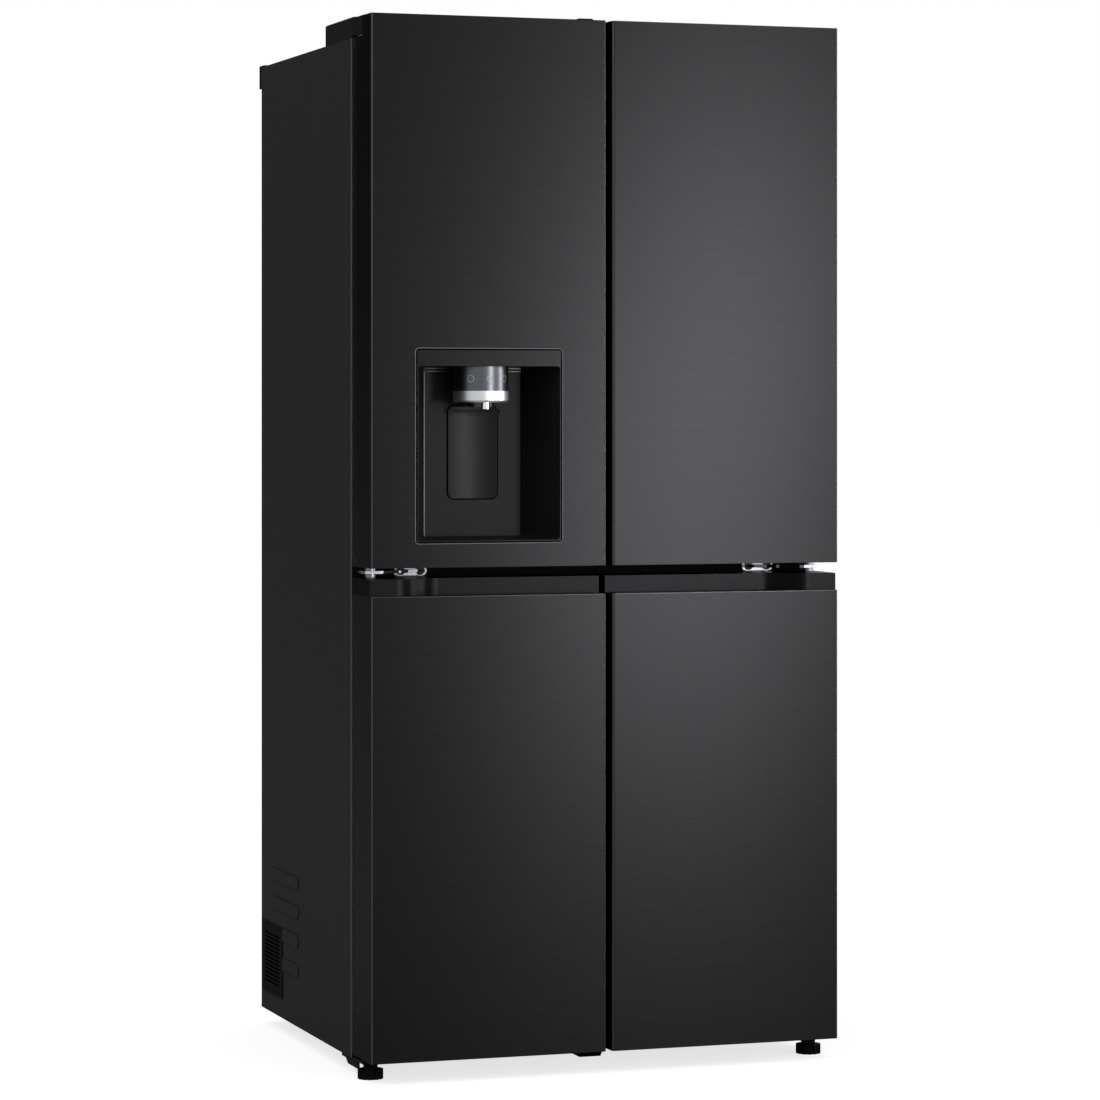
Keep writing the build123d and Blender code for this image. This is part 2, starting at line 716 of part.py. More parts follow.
with BuildPart() as hinge_covers:
    for side in (-1, 1):
        with BuildSketch(Plane.XY.offset(CAB_TOP)):
            cover_outline(side, 0)
        extrude(amount=COVER_H)
    fillet(hinge_covers.edges().group_by(Axis.Z)[-1], COVER_R)
    for side in (-1, 1):
        with BuildSketch(Plane.XY.offset(CAB_TOP)):
            cover_outline(side, COVER_WALL)
        extrude(amount=COVER_H - COVER_WALL, mode=Mode.SUBTRACT)
        nose_x = (side * (PIN_X - NOSE_R - CUT_OVER), side * (OUTER_X + CUT_OVER))
        nose_y = (PIN_Y - NOSE_R - CUT_OVER, CAB_FRONT)
        block(nose_x, nose_y, (CAB_TOP, nose_low), Mode.SUBTRACT)
        slot_x = (side * (PIN_X - NOSE_R), side * (PIN_X + ARM_R + SEAT_CLEARANCE))
        block(slot_x, (CAB_FRONT, CAB_FRONT + COVER_WALL), (CAB_TOP, nose_low), Mode.SUBTRACT)
save(hinge_covers, "hinge_covers")

# Middle hinges: a screwed plate on the front frame, an arm in the gap and a pin both ways
with BuildPart() as middle_hinges:
    for side in (-1, 1):
        plate_start = side * (MIDDLE_PLATE_X - MIDDLE_PLATE_W / 2)
        plate_end = side * (MIDDLE_PLATE_X + MIDDLE_PLATE_W / 2)
        with BuildSketch(upright(CAB_FRONT - MIDDLE_PLATE_T)):
            with Locations((side * MIDDLE_PLATE_X, MIDDLE_Z)):
                SlotOverall(MIDDLE_PLATE_W, MIDDLE_PLATE_H)
                with GridLocations(MIDDLE_SCREW_PITCH, 0, 2, 1):
                    Circle(SCREW_HOLE_R, mode=Mode.SUBTRACT)
        extrude(amount=-MIDDLE_PLATE_T)
        with BuildSketch(Plane.XY.offset(MIDDLE_Z - MIDDLE_ARM_T / 2)):
            with BuildLine():
                Polyline(
                    (plate_end, CAB_FRONT),
                    (plate_start, CAB_FRONT - MIDDLE_PLATE_T),
                    (side * (PIN_X - ARM_R), PIN_Y - ARM_R),
                    (side * (PIN_X + ARM_R), PIN_Y - ARM_R),
                    (side * (PIN_X + ARM_R), CAB_FRONT),
                    close=True,
                )
            make_face()
        extrude(amount=MIDDLE_ARM_T)
        rod((side * PIN_X, PIN_Y), PIN_R, LOWER_TOP - PIN_DEPTH, UPPER_BOTTOM + PIN_DEPTH)
        rod((side * PIN_X, PIN_Y), COLLAR_R, LOWER_TOP + SEAT_CLEARANCE, UPPER_BOTTOM - SEAT_CLEARANCE)
save(middle_hinges, "middle_hinges")

# Lower hinges: plates under the base that carry a door pin above and a foot below
with BuildPart() as lower_hinges:
    for side in (-1, 1):
        with BuildSketch(Plane.XY.offset(CAB_BOTTOM - LOWER_ARM_T)):
            plate_x = (side * (PIN_X - LOWER_PLATE_W), side * (PIN_X + ARM_R))
            rectangle(plate_x, (PIN_Y, FRONT + LOWER_PLATE_END))
            with Locations((side * PIN_X, PIN_Y)):
                Circle(ARM_R)
        extrude(amount=LOWER_ARM_T)
        arm_low = CAB_BOTTOM - LOWER_ARM_T
        with BuildSketch(Plane.YZ.offset(side * (PIN_X + ARM_R))):
            with BuildLine():
                Polyline(
                    (FRONT + LOWER_FLANGE_FRONT, arm_low),
                    (FRONT + LOWER_FLANGE_FRONT, arm_low - LOWER_FLANGE_DROP),
                    (FRONT + LOWER_FLANGE_STEP, arm_low - LOWER_FLANGE_DROP),
                    (FRONT + LOWER_FLANGE_STEP + LOWER_FLANGE_DROP, arm_low - LOWER_FLANGE_TAIL),
                    (FRONT + LOWER_PLATE_END, arm_low - LOWER_FLANGE_TAIL),
                    (FRONT + LOWER_PLATE_END, arm_low),
                    close=True,
                )
            make_face()
        extrude(amount=-side * LOWER_FLANGE_T)
        rod((side * PIN_X, PIN_Y), COLLAR_R, arm_low, LOWER_BOTTOM - SEAT_CLEARANCE)
        rod((side * PIN_X, PIN_Y), PIN_R, CAB_BOTTOM, LOWER_BOTTOM + PIN_DEPTH)
        stud_room = PIN_R + RUN_CLEARANCE
        rod((side * PIN_X, PIN_Y), stud_room, arm_low, CAB_BOTTOM, mode=Mode.SUBTRACT)
save(lower_hinges, "lower_hinges")

# Levelling feet: a grooved pad, a neck and a stud up into the hinge plate
for side, name in ((-1, "left"), (1, "right")):
    axis = (side * PIN_X, PIN_Y)
    neck_top = CAB_BOTTOM - LOWER_ARM_T - SEAT_CLEARANCE
    with BuildPart() as levelling_foot:
        rod(axis, FOOT_R, 0, FOOT_PAD_H)
        with BuildSketch():
            with Locations(axis):
                with PolarLocations(FOOT_R, FOOT_GRIPS):
                    Circle(FOOT_GRIP_R)
        extrude(amount=FOOT_PAD_H, mode=Mode.SUBTRACT)
        rod(axis, FOOT_NECK_R, FOOT_PAD_H, neck_top)
        rod(axis, PIN_R, neck_top, CAB_BOTTOM - SEAT_CLEARANCE)
    save(levelling_foot, f"levelling_foot_{name}")

# Rear rollers: crowned wheels with journals that run in the ears
for side, name in ((-1, "left"), (1, "right")):
    journal = ear_span[1]
    hub = Plane((side * ROLLER_X, ROLLER_Y, ROLLER_R))
    with BuildPart() as rear_roller:
        with BuildSketch(hub):
            with BuildLine():
                Polyline(
                    (-ROLLER_W / 2, ROLLER_R - ROLLER_CROWN),
                    (-ROLLER_W / 2, JOURNAL_R),
                    (-journal, JOURNAL_R),
                    (-journal, 0),
                    (journal, 0),
                    (journal, JOURNAL_R),
                    (ROLLER_W / 2, JOURNAL_R),
                    (ROLLER_W / 2, ROLLER_R - ROLLER_CROWN),
                    (ROLLER_TREAD / 2, ROLLER_R),
                    (-ROLLER_TREAD / 2, ROLLER_R),
                    close=True,
                )
            make_face()
        revolve(axis=Axis(hub.origin, (1, 0, 0)))
    save(rear_roller, f"rear_roller_{name}")

# Guide on top for the centre flap, and the bracket below that the doors close against
with BuildPart() as top_centre_guide:
    block((-GUIDE_W / 2, GUIDE_W / 2), (CAB_FRONT, CAB_FRONT + GUIDE_L), (CAB_TOP, HEIGHT))
    chamfer(top_centre_guide.edges().group_by(Axis.Z)[-1].filter_by(Axis.Y), length=GUIDE_BEVEL)
save(top_centre_guide, "top_centre_guide")

with BuildPart() as bottom_centre_bracket:
    bracket_low = CAB_BOTTOM - BRACKET_DROP
    with BuildSketch(Plane.YZ):
        with BuildLine():
            Polyline(
                (FRONT + BRACKET_FRONT, LOWER_BOTTOM - MOVING_CLEARANCE),
                (FRONT + BRACKET_FRONT, CAB_BOTTOM - BRACKET_DROP / 2),
                (FRONT + BRACKET_FRONT + BRACKET_DROP / 2, bracket_low),
                (CAB_FRONT + BRACKET_UNDER, bracket_low),
                (CAB_FRONT + BRACKET_UNDER, CAB_BOTTOM),
                (CAB_FRONT, CAB_BOTTOM),
                (CAB_FRONT, LOWER_BOTTOM - MOVING_CLEARANCE),
                close=True,
            )
        make_face()
    extrude(amount=BRACKET_W / 2, both=True)
save(bottom_centre_bracket, "bottom_centre_bracket")


def door_x(side):
    """The outer and inner edges of a door on one side."""
    return sorted((side * INNER_X, side * OUTER_X))


def door_outline(side, inset, rear):
    """Plan of a door's front and edges, with the bends of the sheet, drawn in by an inset."""
    left, right = door_x(side)
    with BuildSketch(mode=Mode.PRIVATE) as outline:
        rectangle((left + inset, right - inset), (FRONT + inset, rear))
        fillet(outline.vertices().group_by(Axis.Y)[0], SKIN_BEND - inset)
    return outline.sketch


def door_skin(side, low, high):
    """A sheet bent round the front and both edges of a door, as a U in plan."""
    outside = door_outline(side, 0, FRONT + SKIN_WRAP)
    inside = door_outline(side, SKIN, FRONT + SKIN_WRAP)
    extrude((outside - inside).moved(Location((0, 0, low))), amount=high - low)


def door_block(side, low, high):
    """What the skin holds: it fills the U and covers the sheet's rear edges."""
    filling = door_outline(side, SKIN, DOOR_REAR)
    extrude(filling.moved(Location((0, 0, low))), amount=high - low)
    block(door_x(side), (FRONT + SKIN_WRAP, DOOR_REAR), (low, high))


def hinge_notch(side):
    """Cut at a door's top rear corner, which lets the hinge arm and its cover pass."""
    notch_x = (side * (PIN_X - NOSE_R - MOVING_CLEARANCE), side * (OUTER_X + CUT_OVER))
    notch_y = (FRONT + NOTCH_FRONT, DOOR_REAR + CUT_OVER)
    block(notch_x, notch_y, (NOTCH_FLOOR, UPPER_TOP + CUT_OVER), Mode.SUBTRACT)


def pin_bore(side, low, high):
    """Bore for a hinge pin, on the door's axis."""
    rod((side * PIN_X, PIN_Y), PIN_R + RUN_CLEARANCE, low, high, mode=Mode.SUBTRACT)


def gasket_ring(side, low, high):
    """A seal round the back of a door: a raised bead on a flat strip."""
    left, right = sorted((side * (INNER_X + GASKET_EDGE), side * (PIN_X + GASKET_EDGE)))
    bead_edge = (GASKET_W - BEAD_W) / 2
    bead_depth = DOOR_GAP - 2 * SEAT_CLEARANCE
    for edge, width, depth in ((0, GASKET_W, GASKET_BASE), (bead_edge, BEAD_W, bead_depth)):
        outer_size = (right - left - 2 * edge, high - low - 2 * edge)
        with BuildSketch(upright(DOOR_REAR)) as strip:
            with Locations(((left + right) / 2, (low + high) / 2)):
                Rectangle(*outer_size)
                Rectangle(outer_size[0] - 2 * width, outer_size[1] - 2 * width, mode=Mode.SUBTRACT)
        extrude(strip.sketch, amount=-depth)


def dike_ring(side, low, high, depth, inner):
    """The raised rim on the back of an inner door."""
    left, right = sorted((side * inner, side * DIKE_OUTER))
    with BuildSketch(upright(DOOR_REAR)) as rim:
        with Locations(((left + right) / 2, (low + high) / 2)):
            RectangleRounded(right - left, high - low, DIKE_W)
            Rectangle(right - left - 2 * DIKE_W, high - low - 2 * DIKE_W, mode=Mode.SUBTRACT)
    extrude(rim.sketch, amount=-depth)


def housing_loft(grow, front, back, mode):
    """The dispenser recess: a wide mouth drawn in to a narrower back wall with round corners."""
    middle = (RECESS_LOW + RECESS_HIGH) / 2
    with BuildSketch(upright(front)) as mouth:
        with Locations((DISP_X, middle)):
            RectangleRounded(RECESS_W + 2 * grow, RECESS_HIGH - RECESS_LOW + 2 * grow, BEZEL_R)
    with BuildSketch(upright(back)) as wall:
        with Locations((DISP_X, middle + RECESS_FLOOR_RISE / 2)):
            height = RECESS_HIGH - RECESS_LOW - RECESS_FLOOR_RISE
            RectangleRounded(RECESS_BACK_W + 2 * grow, height + 2 * grow, RECESS_BACK_R)
    loft([mouth.sketch.face(), wall.sketch.face()], mode=mode)


def paddle_pocket(grow, front, mode):
    """The pocket in the recess's back wall that the paddle swings into."""
    margin = PADDLE_GAP + grow
    with BuildSketch(upright(front)) as opening:
        with Locations((DISP_X, (PADDLE_BOTTOM + PADDLE_TOP) / 2)):
            RectangleRounded(PADDLE_W + 2 * margin, PADDLE_H + 2 * margin, PADDLE_R + margin)
    extrude(opening.sketch, amount=front - POCKET_BACK - grow, mode=mode)


# Upper doors: steel skins
for side, name in ((-1, "left"), (1, "right")):
    with BuildPart() as upper_skin:
        door_skin(side, UPPER_BOTTOM, UPPER_TOP)
        hinge_notch(side)
        if side < 0:
            window = (DISP_W + 2 * WINDOW_GAP, DISP_H + 2 * WINDOW_GAP)
            with BuildSketch(upright(FRONT)) as opening:
                with Locations((DISP_X, (DISP_LOW + DISP_HIGH) / 2)):
                    RectangleRounded(*window, BEZEL_R + WINDOW_GAP)
            extrude(opening.sketch, amount=-SKIN, mode=Mode.SUBTRACT)
    save(upper_skin, f"upper_{name}_skin")

# Upper doors: moulded end caps with the bores that the hinge pins turn in
for side, name in ((-1, "left"), (1, "right")):
    with BuildPart() as upper_caps:
        door_block(side, UPPER_TOP - TOP_CAP_T, UPPER_TOP)
        hinge_notch(side)
        pin_bore(side, NOTCH_FLOOR - PIN_DEPTH - MOVING_CLEARANCE, NOTCH_FLOOR)
        door_block(side, UPPER_BOTTOM, UPPER_BOTTOM + BOTTOM_CAP_T)
        pin_bore(side, UPPER_BOTTOM, UPPER_BOTTOM + PIN_DEPTH + MOVING_CLEARANCE)
    save(upper_caps, f"upper_{name}_end_caps")

# Upper doors: foamed inner doors with the rim that the bins hang in
core_z = (UPPER_BOTTOM + BOTTOM_CAP_T, UPPER_TOP - TOP_CAP_T)
with BuildPart() as upper_right_inner:
    door_block(1, *core_z)
    dike_ring(1, DIKE_LOW, DIKE_HIGH, DIKE_DEPTH, DIKE_INNER)
save(upper_right_inner, "upper_right_inner")

flap_z = (DIKE_LOW + LUG_T + SEAT_CLEARANCE, DIKE_HIGH - LUG_T - SEAT_CLEARANCE)
bulge_top = DISP_HIGH
with BuildPart() as upper_left_inner:
    door_block(-1, *core_z)
    dike_ring(-1, DIKE_LOW, DIKE_HIGH, DIKE_DEPTH, DIKE_INNER)
    bulge_x = (-DIKE_OUTER + DIKE_W, -DIKE_INNER - DIKE_W)
    block(bulge_x, (DOOR_REAR, DIKE_REAR), (DIKE_LOW + DIKE_W, bulge_top))
    with BuildSketch(upright(FRONT + SKIN)) as seat:
        with Locations((DISP_X, (DISP_LOW + DISP_HIGH) / 2)):
            RectangleRounded(DISP_W, DISP_H, BEZEL_R)
    extrude(seat.sketch, amount=SKIN - BEZEL_T, mode=Mode.SUBTRACT)
    housing_room = HOUSING_WALL + SEAT_CLEARANCE
    housing_loft(housing_room, RECESS_FRONT, RECESS_BACK + housing_room, Mode.SUBTRACT)
    paddle_pocket(POCKET_WALL + SEAT_CLEARANCE, RECESS_BACK, Mode.SUBTRACT)
    for low in (DIKE_LOW, DIKE_HIGH - LUG_T):
        block((-DIKE_INNER - DIKE_W / 2, -FLAP_X), (FLAP_Y - LUG_R, FLAP_Y + LUG_R), (low, low + LUG_T))
        rod((-FLAP_X, FLAP_Y), LUG_R, low, low + LUG_T)
        rod((-FLAP_X, FLAP_Y), FLAP_PIN_R + RUN_CLEARANCE, low, low + LUG_T, mode=Mode.SUBTRACT)
save(upper_left_inner, "upper_left_inner")

# Centre flap: seals the gap between the upper doors when it is turned out
with BuildPart() as centre_flap:
    with BuildSketch(Plane.XY.offset(flap_z[0])):
        with Locations((-FLAP_X, FLAP_Y)):
            Circle(FLAP_T / 2)
        rectangle((-FLAP_X - FLAP_T / 2, -FLAP_X + FLAP_T / 2), (FLAP_Y, FLAP_Y + FLAP_L))
    extrude(amount=flap_z[1] - flap_z[0])
    far_edges = centre_flap.edges().filter_by(Axis.Z).group_by(Axis.Y)[-1]
    fillet(far_edges, FLAP_R)
    rod((-FLAP_X, FLAP_Y), FLAP_PIN_R, flap_z[0] - LUG_T, flap_z[1] + LUG_T)
save(centre_flap, "centre_flap")

# Dispenser: bezel, recess housing, spout, metal ring and paddle
with BuildPart() as dispenser_bezel:
    with BuildSketch(upright(FRONT)):
        with Locations((DISP_X, (DISP_LOW + DISP_HIGH) / 2)):
            RectangleRounded(DISP_W, DISP_H, BEZEL_R)
        with Locations((DISP_X, (RECESS_LOW + RECESS_HIGH) / 2)):
            RectangleRounded(RECESS_W, RECESS_HIGH - RECESS_LOW, BEZEL_R, mode=Mode.SUBTRACT)
    extrude(amount=-BEZEL_T)
save(dispenser_bezel, "dispenser_bezel")

paddle_y = RECESS_BACK - PADDLE_T / 2
with BuildPart() as dispenser_housing:
    housing_loft(HOUSING_WALL, RECESS_FRONT, RECESS_BACK + HOUSING_WALL, Mode.ADD)
    paddle_pocket(POCKET_WALL, RECESS_BACK, Mode.ADD)
    housing_loft(0, RECESS_FRONT, RECESS_BACK, Mode.SUBTRACT)
    paddle_pocket(0, RECESS_BACK, Mode.SUBTRACT)
    axle = PADDLE_W / 2 + PADDLE_GAP + POCKET_WALL
    pivot = (paddle_y + PADDLE_T, PADDLE_PIN_Z)
    rod(pivot, PADDLE_PIN_R + RUN_CLEARANCE, DISP_X - axle, DISP_X + axle, Plane.YZ, Mode.SUBTRACT)
    lamp_y = (RECESS_BACK - LAMP_PROUD, RECESS_BACK + HOUSING_WALL)
    for side in (-1, 1):
        lamp_x = (DISP_X + side * (RECESS_BACK_W / 2 - LAMP_L), DISP_X + side * RECESS_BACK_W / 2)
        for low in (RECESS_HIGH - LAMP_DROP, RECESS_HIGH - LAMP_DROP + LAMP_PITCH):
            block(lamp_x, lamp_y, (low, low + LAMP_H))
save(dispenser_housing, "dispenser_housing")

with BuildPart() as dispenser_paddle:
    with BuildSketch(upright(paddle_y)):
        with Locations((DISP_X, (PADDLE_BOTTOM + PADDLE_TOP) / 2)):
            RectangleRounded(PADDLE_W, PADDLE_H, PADDLE_R)
    extrude(amount=-PADDLE_T)
    with BuildSketch(upright(paddle_y)):
        with Locations((DISP_X, PADDLE_TOP - PADDLE_MARK_DROP)):
            SlotOverall(PADDLE_MARK_L, PADDLE_MARK_H)
    extrude(amount=-PADDLE_MARK_D, mode=Mode.SUBTRACT)
    boss = PADDLE_W / 2 - PADDLE_R
    rod(pivot, PADDLE_PIN_R + PADDLE_T / 2, DISP_X - boss, DISP_X + boss, Plane.YZ)
    pin_half = axle - SEAT_CLEARANCE
    rod(pivot, PADDLE_PIN_R, DISP_X - pin_half, DISP_X + pin_half, Plane.YZ)
save(dispenser_paddle, "dispenser_paddle")

spout_axis = Axis((DISP_X, FRONT + SPOUT_BACK, 0), (0, 0, 1))
spout_low = RECESS_HIGH - SPOUT_H
ring_low = spout_low - RING_H
with BuildPart() as dispenser_spout:
    with BuildSketch(upright(FRONT + SPOUT_BACK)):
        with BuildLine():
            Polyline(
                (DISP_X, RECESS_HIGH),
                (DISP_X + SPOUT_R, RECESS_HIGH),
                (DISP_X + SPOUT_R, spout_low),
                (DISP_X + NOZZLE_R, spout_low),
                (DISP_X + NOZZLE_R - NOZZLE_TAPER, ring_low - NOZZLE_DROP),
                (DISP_X, ring_low - NOZZLE_DROP),
                close=True,
            )
        make_face()
    revolve(axis=spout_axis)
save(dispenser_spout, "dispenser_spout")

with BuildPart() as spout_ring:
    bore = NOZZLE_R + SEAT_CLEARANCE
    with BuildSketch(upright(FRONT + SPOUT_BACK)):
        with BuildLine():
            Polyline(
                (DISP_X + bore, spout_low),
                (DISP_X + RING_R, spout_low),
                (DISP_X + RING_R, ring_low + RING_BEVEL_H),
                (DISP_X + RING_R - RING_BEVEL, ring_low),
                (DISP_X + bore, ring_low),
                close=True,
            )
        make_face()
    revolve(axis=spout_axis)
save(spout_ring, "spout_ring")

# Ice room above the dispenser: a moulded box inside the rim, with the seam and latch of its cover
with BuildPart() as ice_room:
    ice_x = (bulge_x[0] + SEAT_CLEARANCE, bulge_x[1] - SEAT_CLEARANCE)
    ice_z = (bulge_top + ICE_GAP, DIKE_HIGH - DIKE_W - ICE_GAP)
    block(ice_x, (DOOR_REAR, DOOR_REAR + ICE_REACH), ice_z)
    fillet(ice_room.edges().group_by(Axis.Y)[-1], ICE_R)
    inner_x = (ice_x[0] + ICE_WALL, ice_x[1] - ICE_WALL)
    inner_z = (ice_z[0] + ICE_WALL, ice_z[1] - ICE_WALL)
    block(inner_x, (DOOR_REAR, DOOR_REAR + ICE_REACH - ICE_WALL), inner_z, Mode.SUBTRACT)
    seam_size = (ice_x[1] - ice_x[0] - 2 * ICE_SEAM, ice_z[1] - ice_z[0] - 2 * ICE_SEAM)
    with BuildSketch(upright(DOOR_REAR + ICE_REACH)):
        with Locations((sum(ice_x) / 2, sum(ice_z) / 2)):
            Rectangle(*seam_size)
            Rectangle(seam_size[0] - 2 * ICE_SEAM_W, seam_size[1] - 2 * ICE_SEAM_W, mode=Mode.SUBTRACT)
    extrude(amount=ICE_SEAM_D, mode=Mode.SUBTRACT)
    with BuildSketch(upright(DOOR_REAR + ICE_REACH)):
        with Locations((ice_x[1] - ICE_SEAM - ICE_LATCH_W, sum(ice_z) / 2)):
            RectangleRounded(ICE_LATCH_W, ICE_LATCH_H, ICE_LATCH_R)
    extrude(amount=-ICE_LATCH_T)
save(ice_room, "ice_room")

# Door bins: open trays between the rims of the right door and behind the dispenser on the left
bin_low = DIKE_LOW + DIKE_W + SEAT_CLEARANCE
bin_front = DOOR_REAR + BIN_REACH
with BuildPart() as right_door_bins:
    bin_x = (DIKE_INNER + DIKE_W + SEAT_CLEARANCE, DIKE_OUTER - DIKE_W - SEAT_CLEARANCE)
    right_pitch = (DIKE_HIGH - DIKE_LOW - 2 * DIKE_W) / RIGHT_BINS
    for row in range(RIGHT_BINS):
        tray(bin_x, (DOOR_REAR + SEAT_CLEARANCE, bin_front), bin_low + row * right_pitch)
save(right_door_bins, "right_door_bins")

with BuildPart() as left_door_bins:
    left_pitch = (bulge_top - DIKE_LOW - DIKE_W) / LEFT_BINS
    for row in range(LEFT_BINS):
        tray(bulge_x, (DIKE_REAR + SEAT_CLEARANCE, bin_front), bin_low + row * left_pitch)
save(left_door_bins, "left_door_bins")

# Seals of the upper doors
for side, name in ((-1, "left"), (1, "right")):
    with BuildPart() as upper_gasket:
        gasket_ring(side, UPPER_BOTTOM + GASKET_END, NOTCH_FLOOR - GASKET_END)
        fillet(upper_gasket.edges().group_by(Axis.Y)[-1], BEAD_R)
    save(upper_gasket, f"upper_{name}_gasket")


def grip_front(side):
    """Plan of the grip strip: shallow at the hinge end, swept back in an S towards the centre."""
    shallow = FRONT + GRIP_OUTER_SET_BACK
    deep = FRONT + GRIP_SET_BACK
    start = (side * GRIP_CURVE_END, shallow)
    finish = (side * GRIP_CURVE_START, deep)
    with BuildLine() as outline:
        Polyline((side * INNER_X, deep), (side * INNER_X, DOOR_REAR), (side * OUTER_X, DOOR_REAR),
                 (side * OUTER_X, shallow), start)
        Spline(start, finish, tangents=((-side, 0), (-side, 0)))
        Line(finish, (side * INNER_X, deep))
    make_face(outline.edges())


# Lower doors: skins, foamed inner doors, pocket grips and seals
pocket_floor = PANEL_TOP - GRIP_POCKET_DEPTH
for side, name in ((-1, "left"), (1, "right")):
    with BuildPart() as lower_skin:
        door_skin(side, LOWER_BOTTOM, PANEL_TOP)
    save(lower_skin, f"lower_{name}_skin")

    trough_x = (side * (INNER_X + GRIP_END), side * GRIP_CURVE_START)
    trough_y = (FRONT + SKIN, FRONT + GRIP_SET_BACK + GRIP_WALL)
    with BuildPart() as pocket_grip:
        with BuildSketch(Plane.XY.offset(PANEL_TOP)):
            grip_front(side)
        extrude(amount=GRIP_STRIP_H)
        block(trough_x, trough_y, (pocket_floor - GRIP_WALL, PANEL_TOP))
        hollow_x = (trough_x[0] + side * GRIP_WALL, trough_x[1] - side * GRIP_WALL)
        hollow_y = (FRONT + SKIN + GRIP_WALL, FRONT + GRIP_SET_BACK)
        block(hollow_x, hollow_y, (pocket_floor, PANEL_TOP), Mode.SUBTRACT)
        pin_bore(side, LOWER_TOP - PIN_DEPTH - MOVING_CLEARANCE, LOWER_TOP)
    save(pocket_grip, f"lower_{name}_grip")

    with BuildPart() as lower_inner:
        door_block(side, LOWER_BOTTOM, PANEL_TOP)
        block(trough_x, trough_y, (pocket_floor - GRIP_WALL, PANEL_TOP), Mode.SUBTRACT)
        pin_bore(side, LOWER_BOTTOM, LOWER_BOTTOM + PIN_DEPTH + MOVING_CLEARANCE)
        lower_dike = (FREEZER_FLOOR + DIKE_END, FREEZER_TOP - DIKE_END)
        dike_ring(side, *lower_dike, LOWER_DIKE_DEPTH, DIKE_INNER)
    save(lower_inner, f"lower_{name}_inner")

    with BuildPart() as lower_gasket:
        gasket_ring(side, LOWER_BOTTOM + GASKET_END, LOWER_TOP - GASKET_END)
        fillet(lower_gasket.edges().group_by(Axis.Y)[-1], BEAD_R)
    save(lower_gasket, f"lower_{name}_gasket")

# Glass shelves on the liner's ledges, the lowest one over the crispers
with BuildPart() as glass_shelves:
    for level in SHELF_LEVELS:
        with BuildSketch(Plane.XY.offset(level)):
            with Locations((0, sum(shelf_y) / 2)):
                RectangleRounded(2 * (FRIDGE_HALF - SEAT_CLEARANCE), shelf_y[1] - shelf_y[0], SHELF_R)
        extrude(amount=SHELF_T)
save(glass_shelves, "glass_shelves")

# Crisper drawers side by side on the fridge floor
with BuildPart() as crisper_drawers:
    crisper_top = CRISPER_TOP - LEDGE_H - CRISPER_GAP
    for side in (-1, 1):
        crisper_x = sorted((side * CRISPER_GAP, side * (FRIDGE_HALF - LEDGE_W - CRISPER_GAP)))
        open_box(crisper_x, shelf_y, (FRIDGE_FLOOR, crisper_top), DRAWER_WALL, DRAWER_R)
        pull_lip(crisper_x, shelf_y[0], crisper_top)
save(crisper_drawers, "crisper_drawers")

# Freezer drawers: the lowest stand on the floor, the others hang by their rims on the ledges
with BuildPart() as freezer_drawers:
    for side in (-1, 1):
        rim_x = sorted((side * (DIVIDER / 2 + SEAT_CLEARANCE), side * (FRIDGE_HALF - SEAT_CLEARANCE)))
        side_gap = LEDGE_W + DRAWER_WALL
        box_x = (rim_x[0] + side_gap, rim_x[1] - side_gap)
        low_y = (drawer_y[0], STEP_Y - DRAWER_GAP)
        open_box(box_x, low_y, (FREEZER_FLOOR, STEP_Z - DRAWER_GAP), DRAWER_WALL, DRAWER_R)
        pull_lip(box_x, drawer_y[0], STEP_Z - DRAWER_GAP)
        for top in drawer_tops:
            low = top - DRAWER_ROW_H + 2 * DRAWER_GAP
            open_box(box_x, drawer_y, (low, top), DRAWER_WALL, DRAWER_R)
            pull_lip(box_x, drawer_y[0], top)
            for x in ((rim_x[0], box_x[0] + DRAWER_WALL), (box_x[1] - DRAWER_WALL, rim_x[1])):
                block(x, (drawer_y[0] + DRAWER_R, drawer_y[1] - DRAWER_R), (top - RIM_H, top))
save(freezer_drawers, "freezer_drawers")

# Air duct on the fridge's back wall, with an outlet above each shelf
with BuildPart() as air_duct:
    duct_z = (CRISPER_TOP + SHELF_T + DUCT_T, FRIDGE_TOP - DUCT_T)
    block((-DUCT_W / 2, DUCT_W / 2), (CAVITY_BACK - DUCT_T, CAVITY_BACK), duct_z)
    fillet(air_duct.edges().group_by(Axis.Y)[0].filter_by(Axis.Z), DUCT_R)
    with BuildSketch(upright(CAVITY_BACK - DUCT_T)):
        with Locations((0, sum(duct_z) / 2)):
            with GridLocations(DUCT_W / 2, (duct_z[1] - duct_z[0]) / DUCT_SLOTS, 2, DUCT_SLOTS):
                SlotOverall(DUCT_SLOT_L, DUCT_SLOT_H)
    extrude(amount=-DUCT_SLOT_D, mode=Mode.SUBTRACT)
save(air_duct, "air_duct")

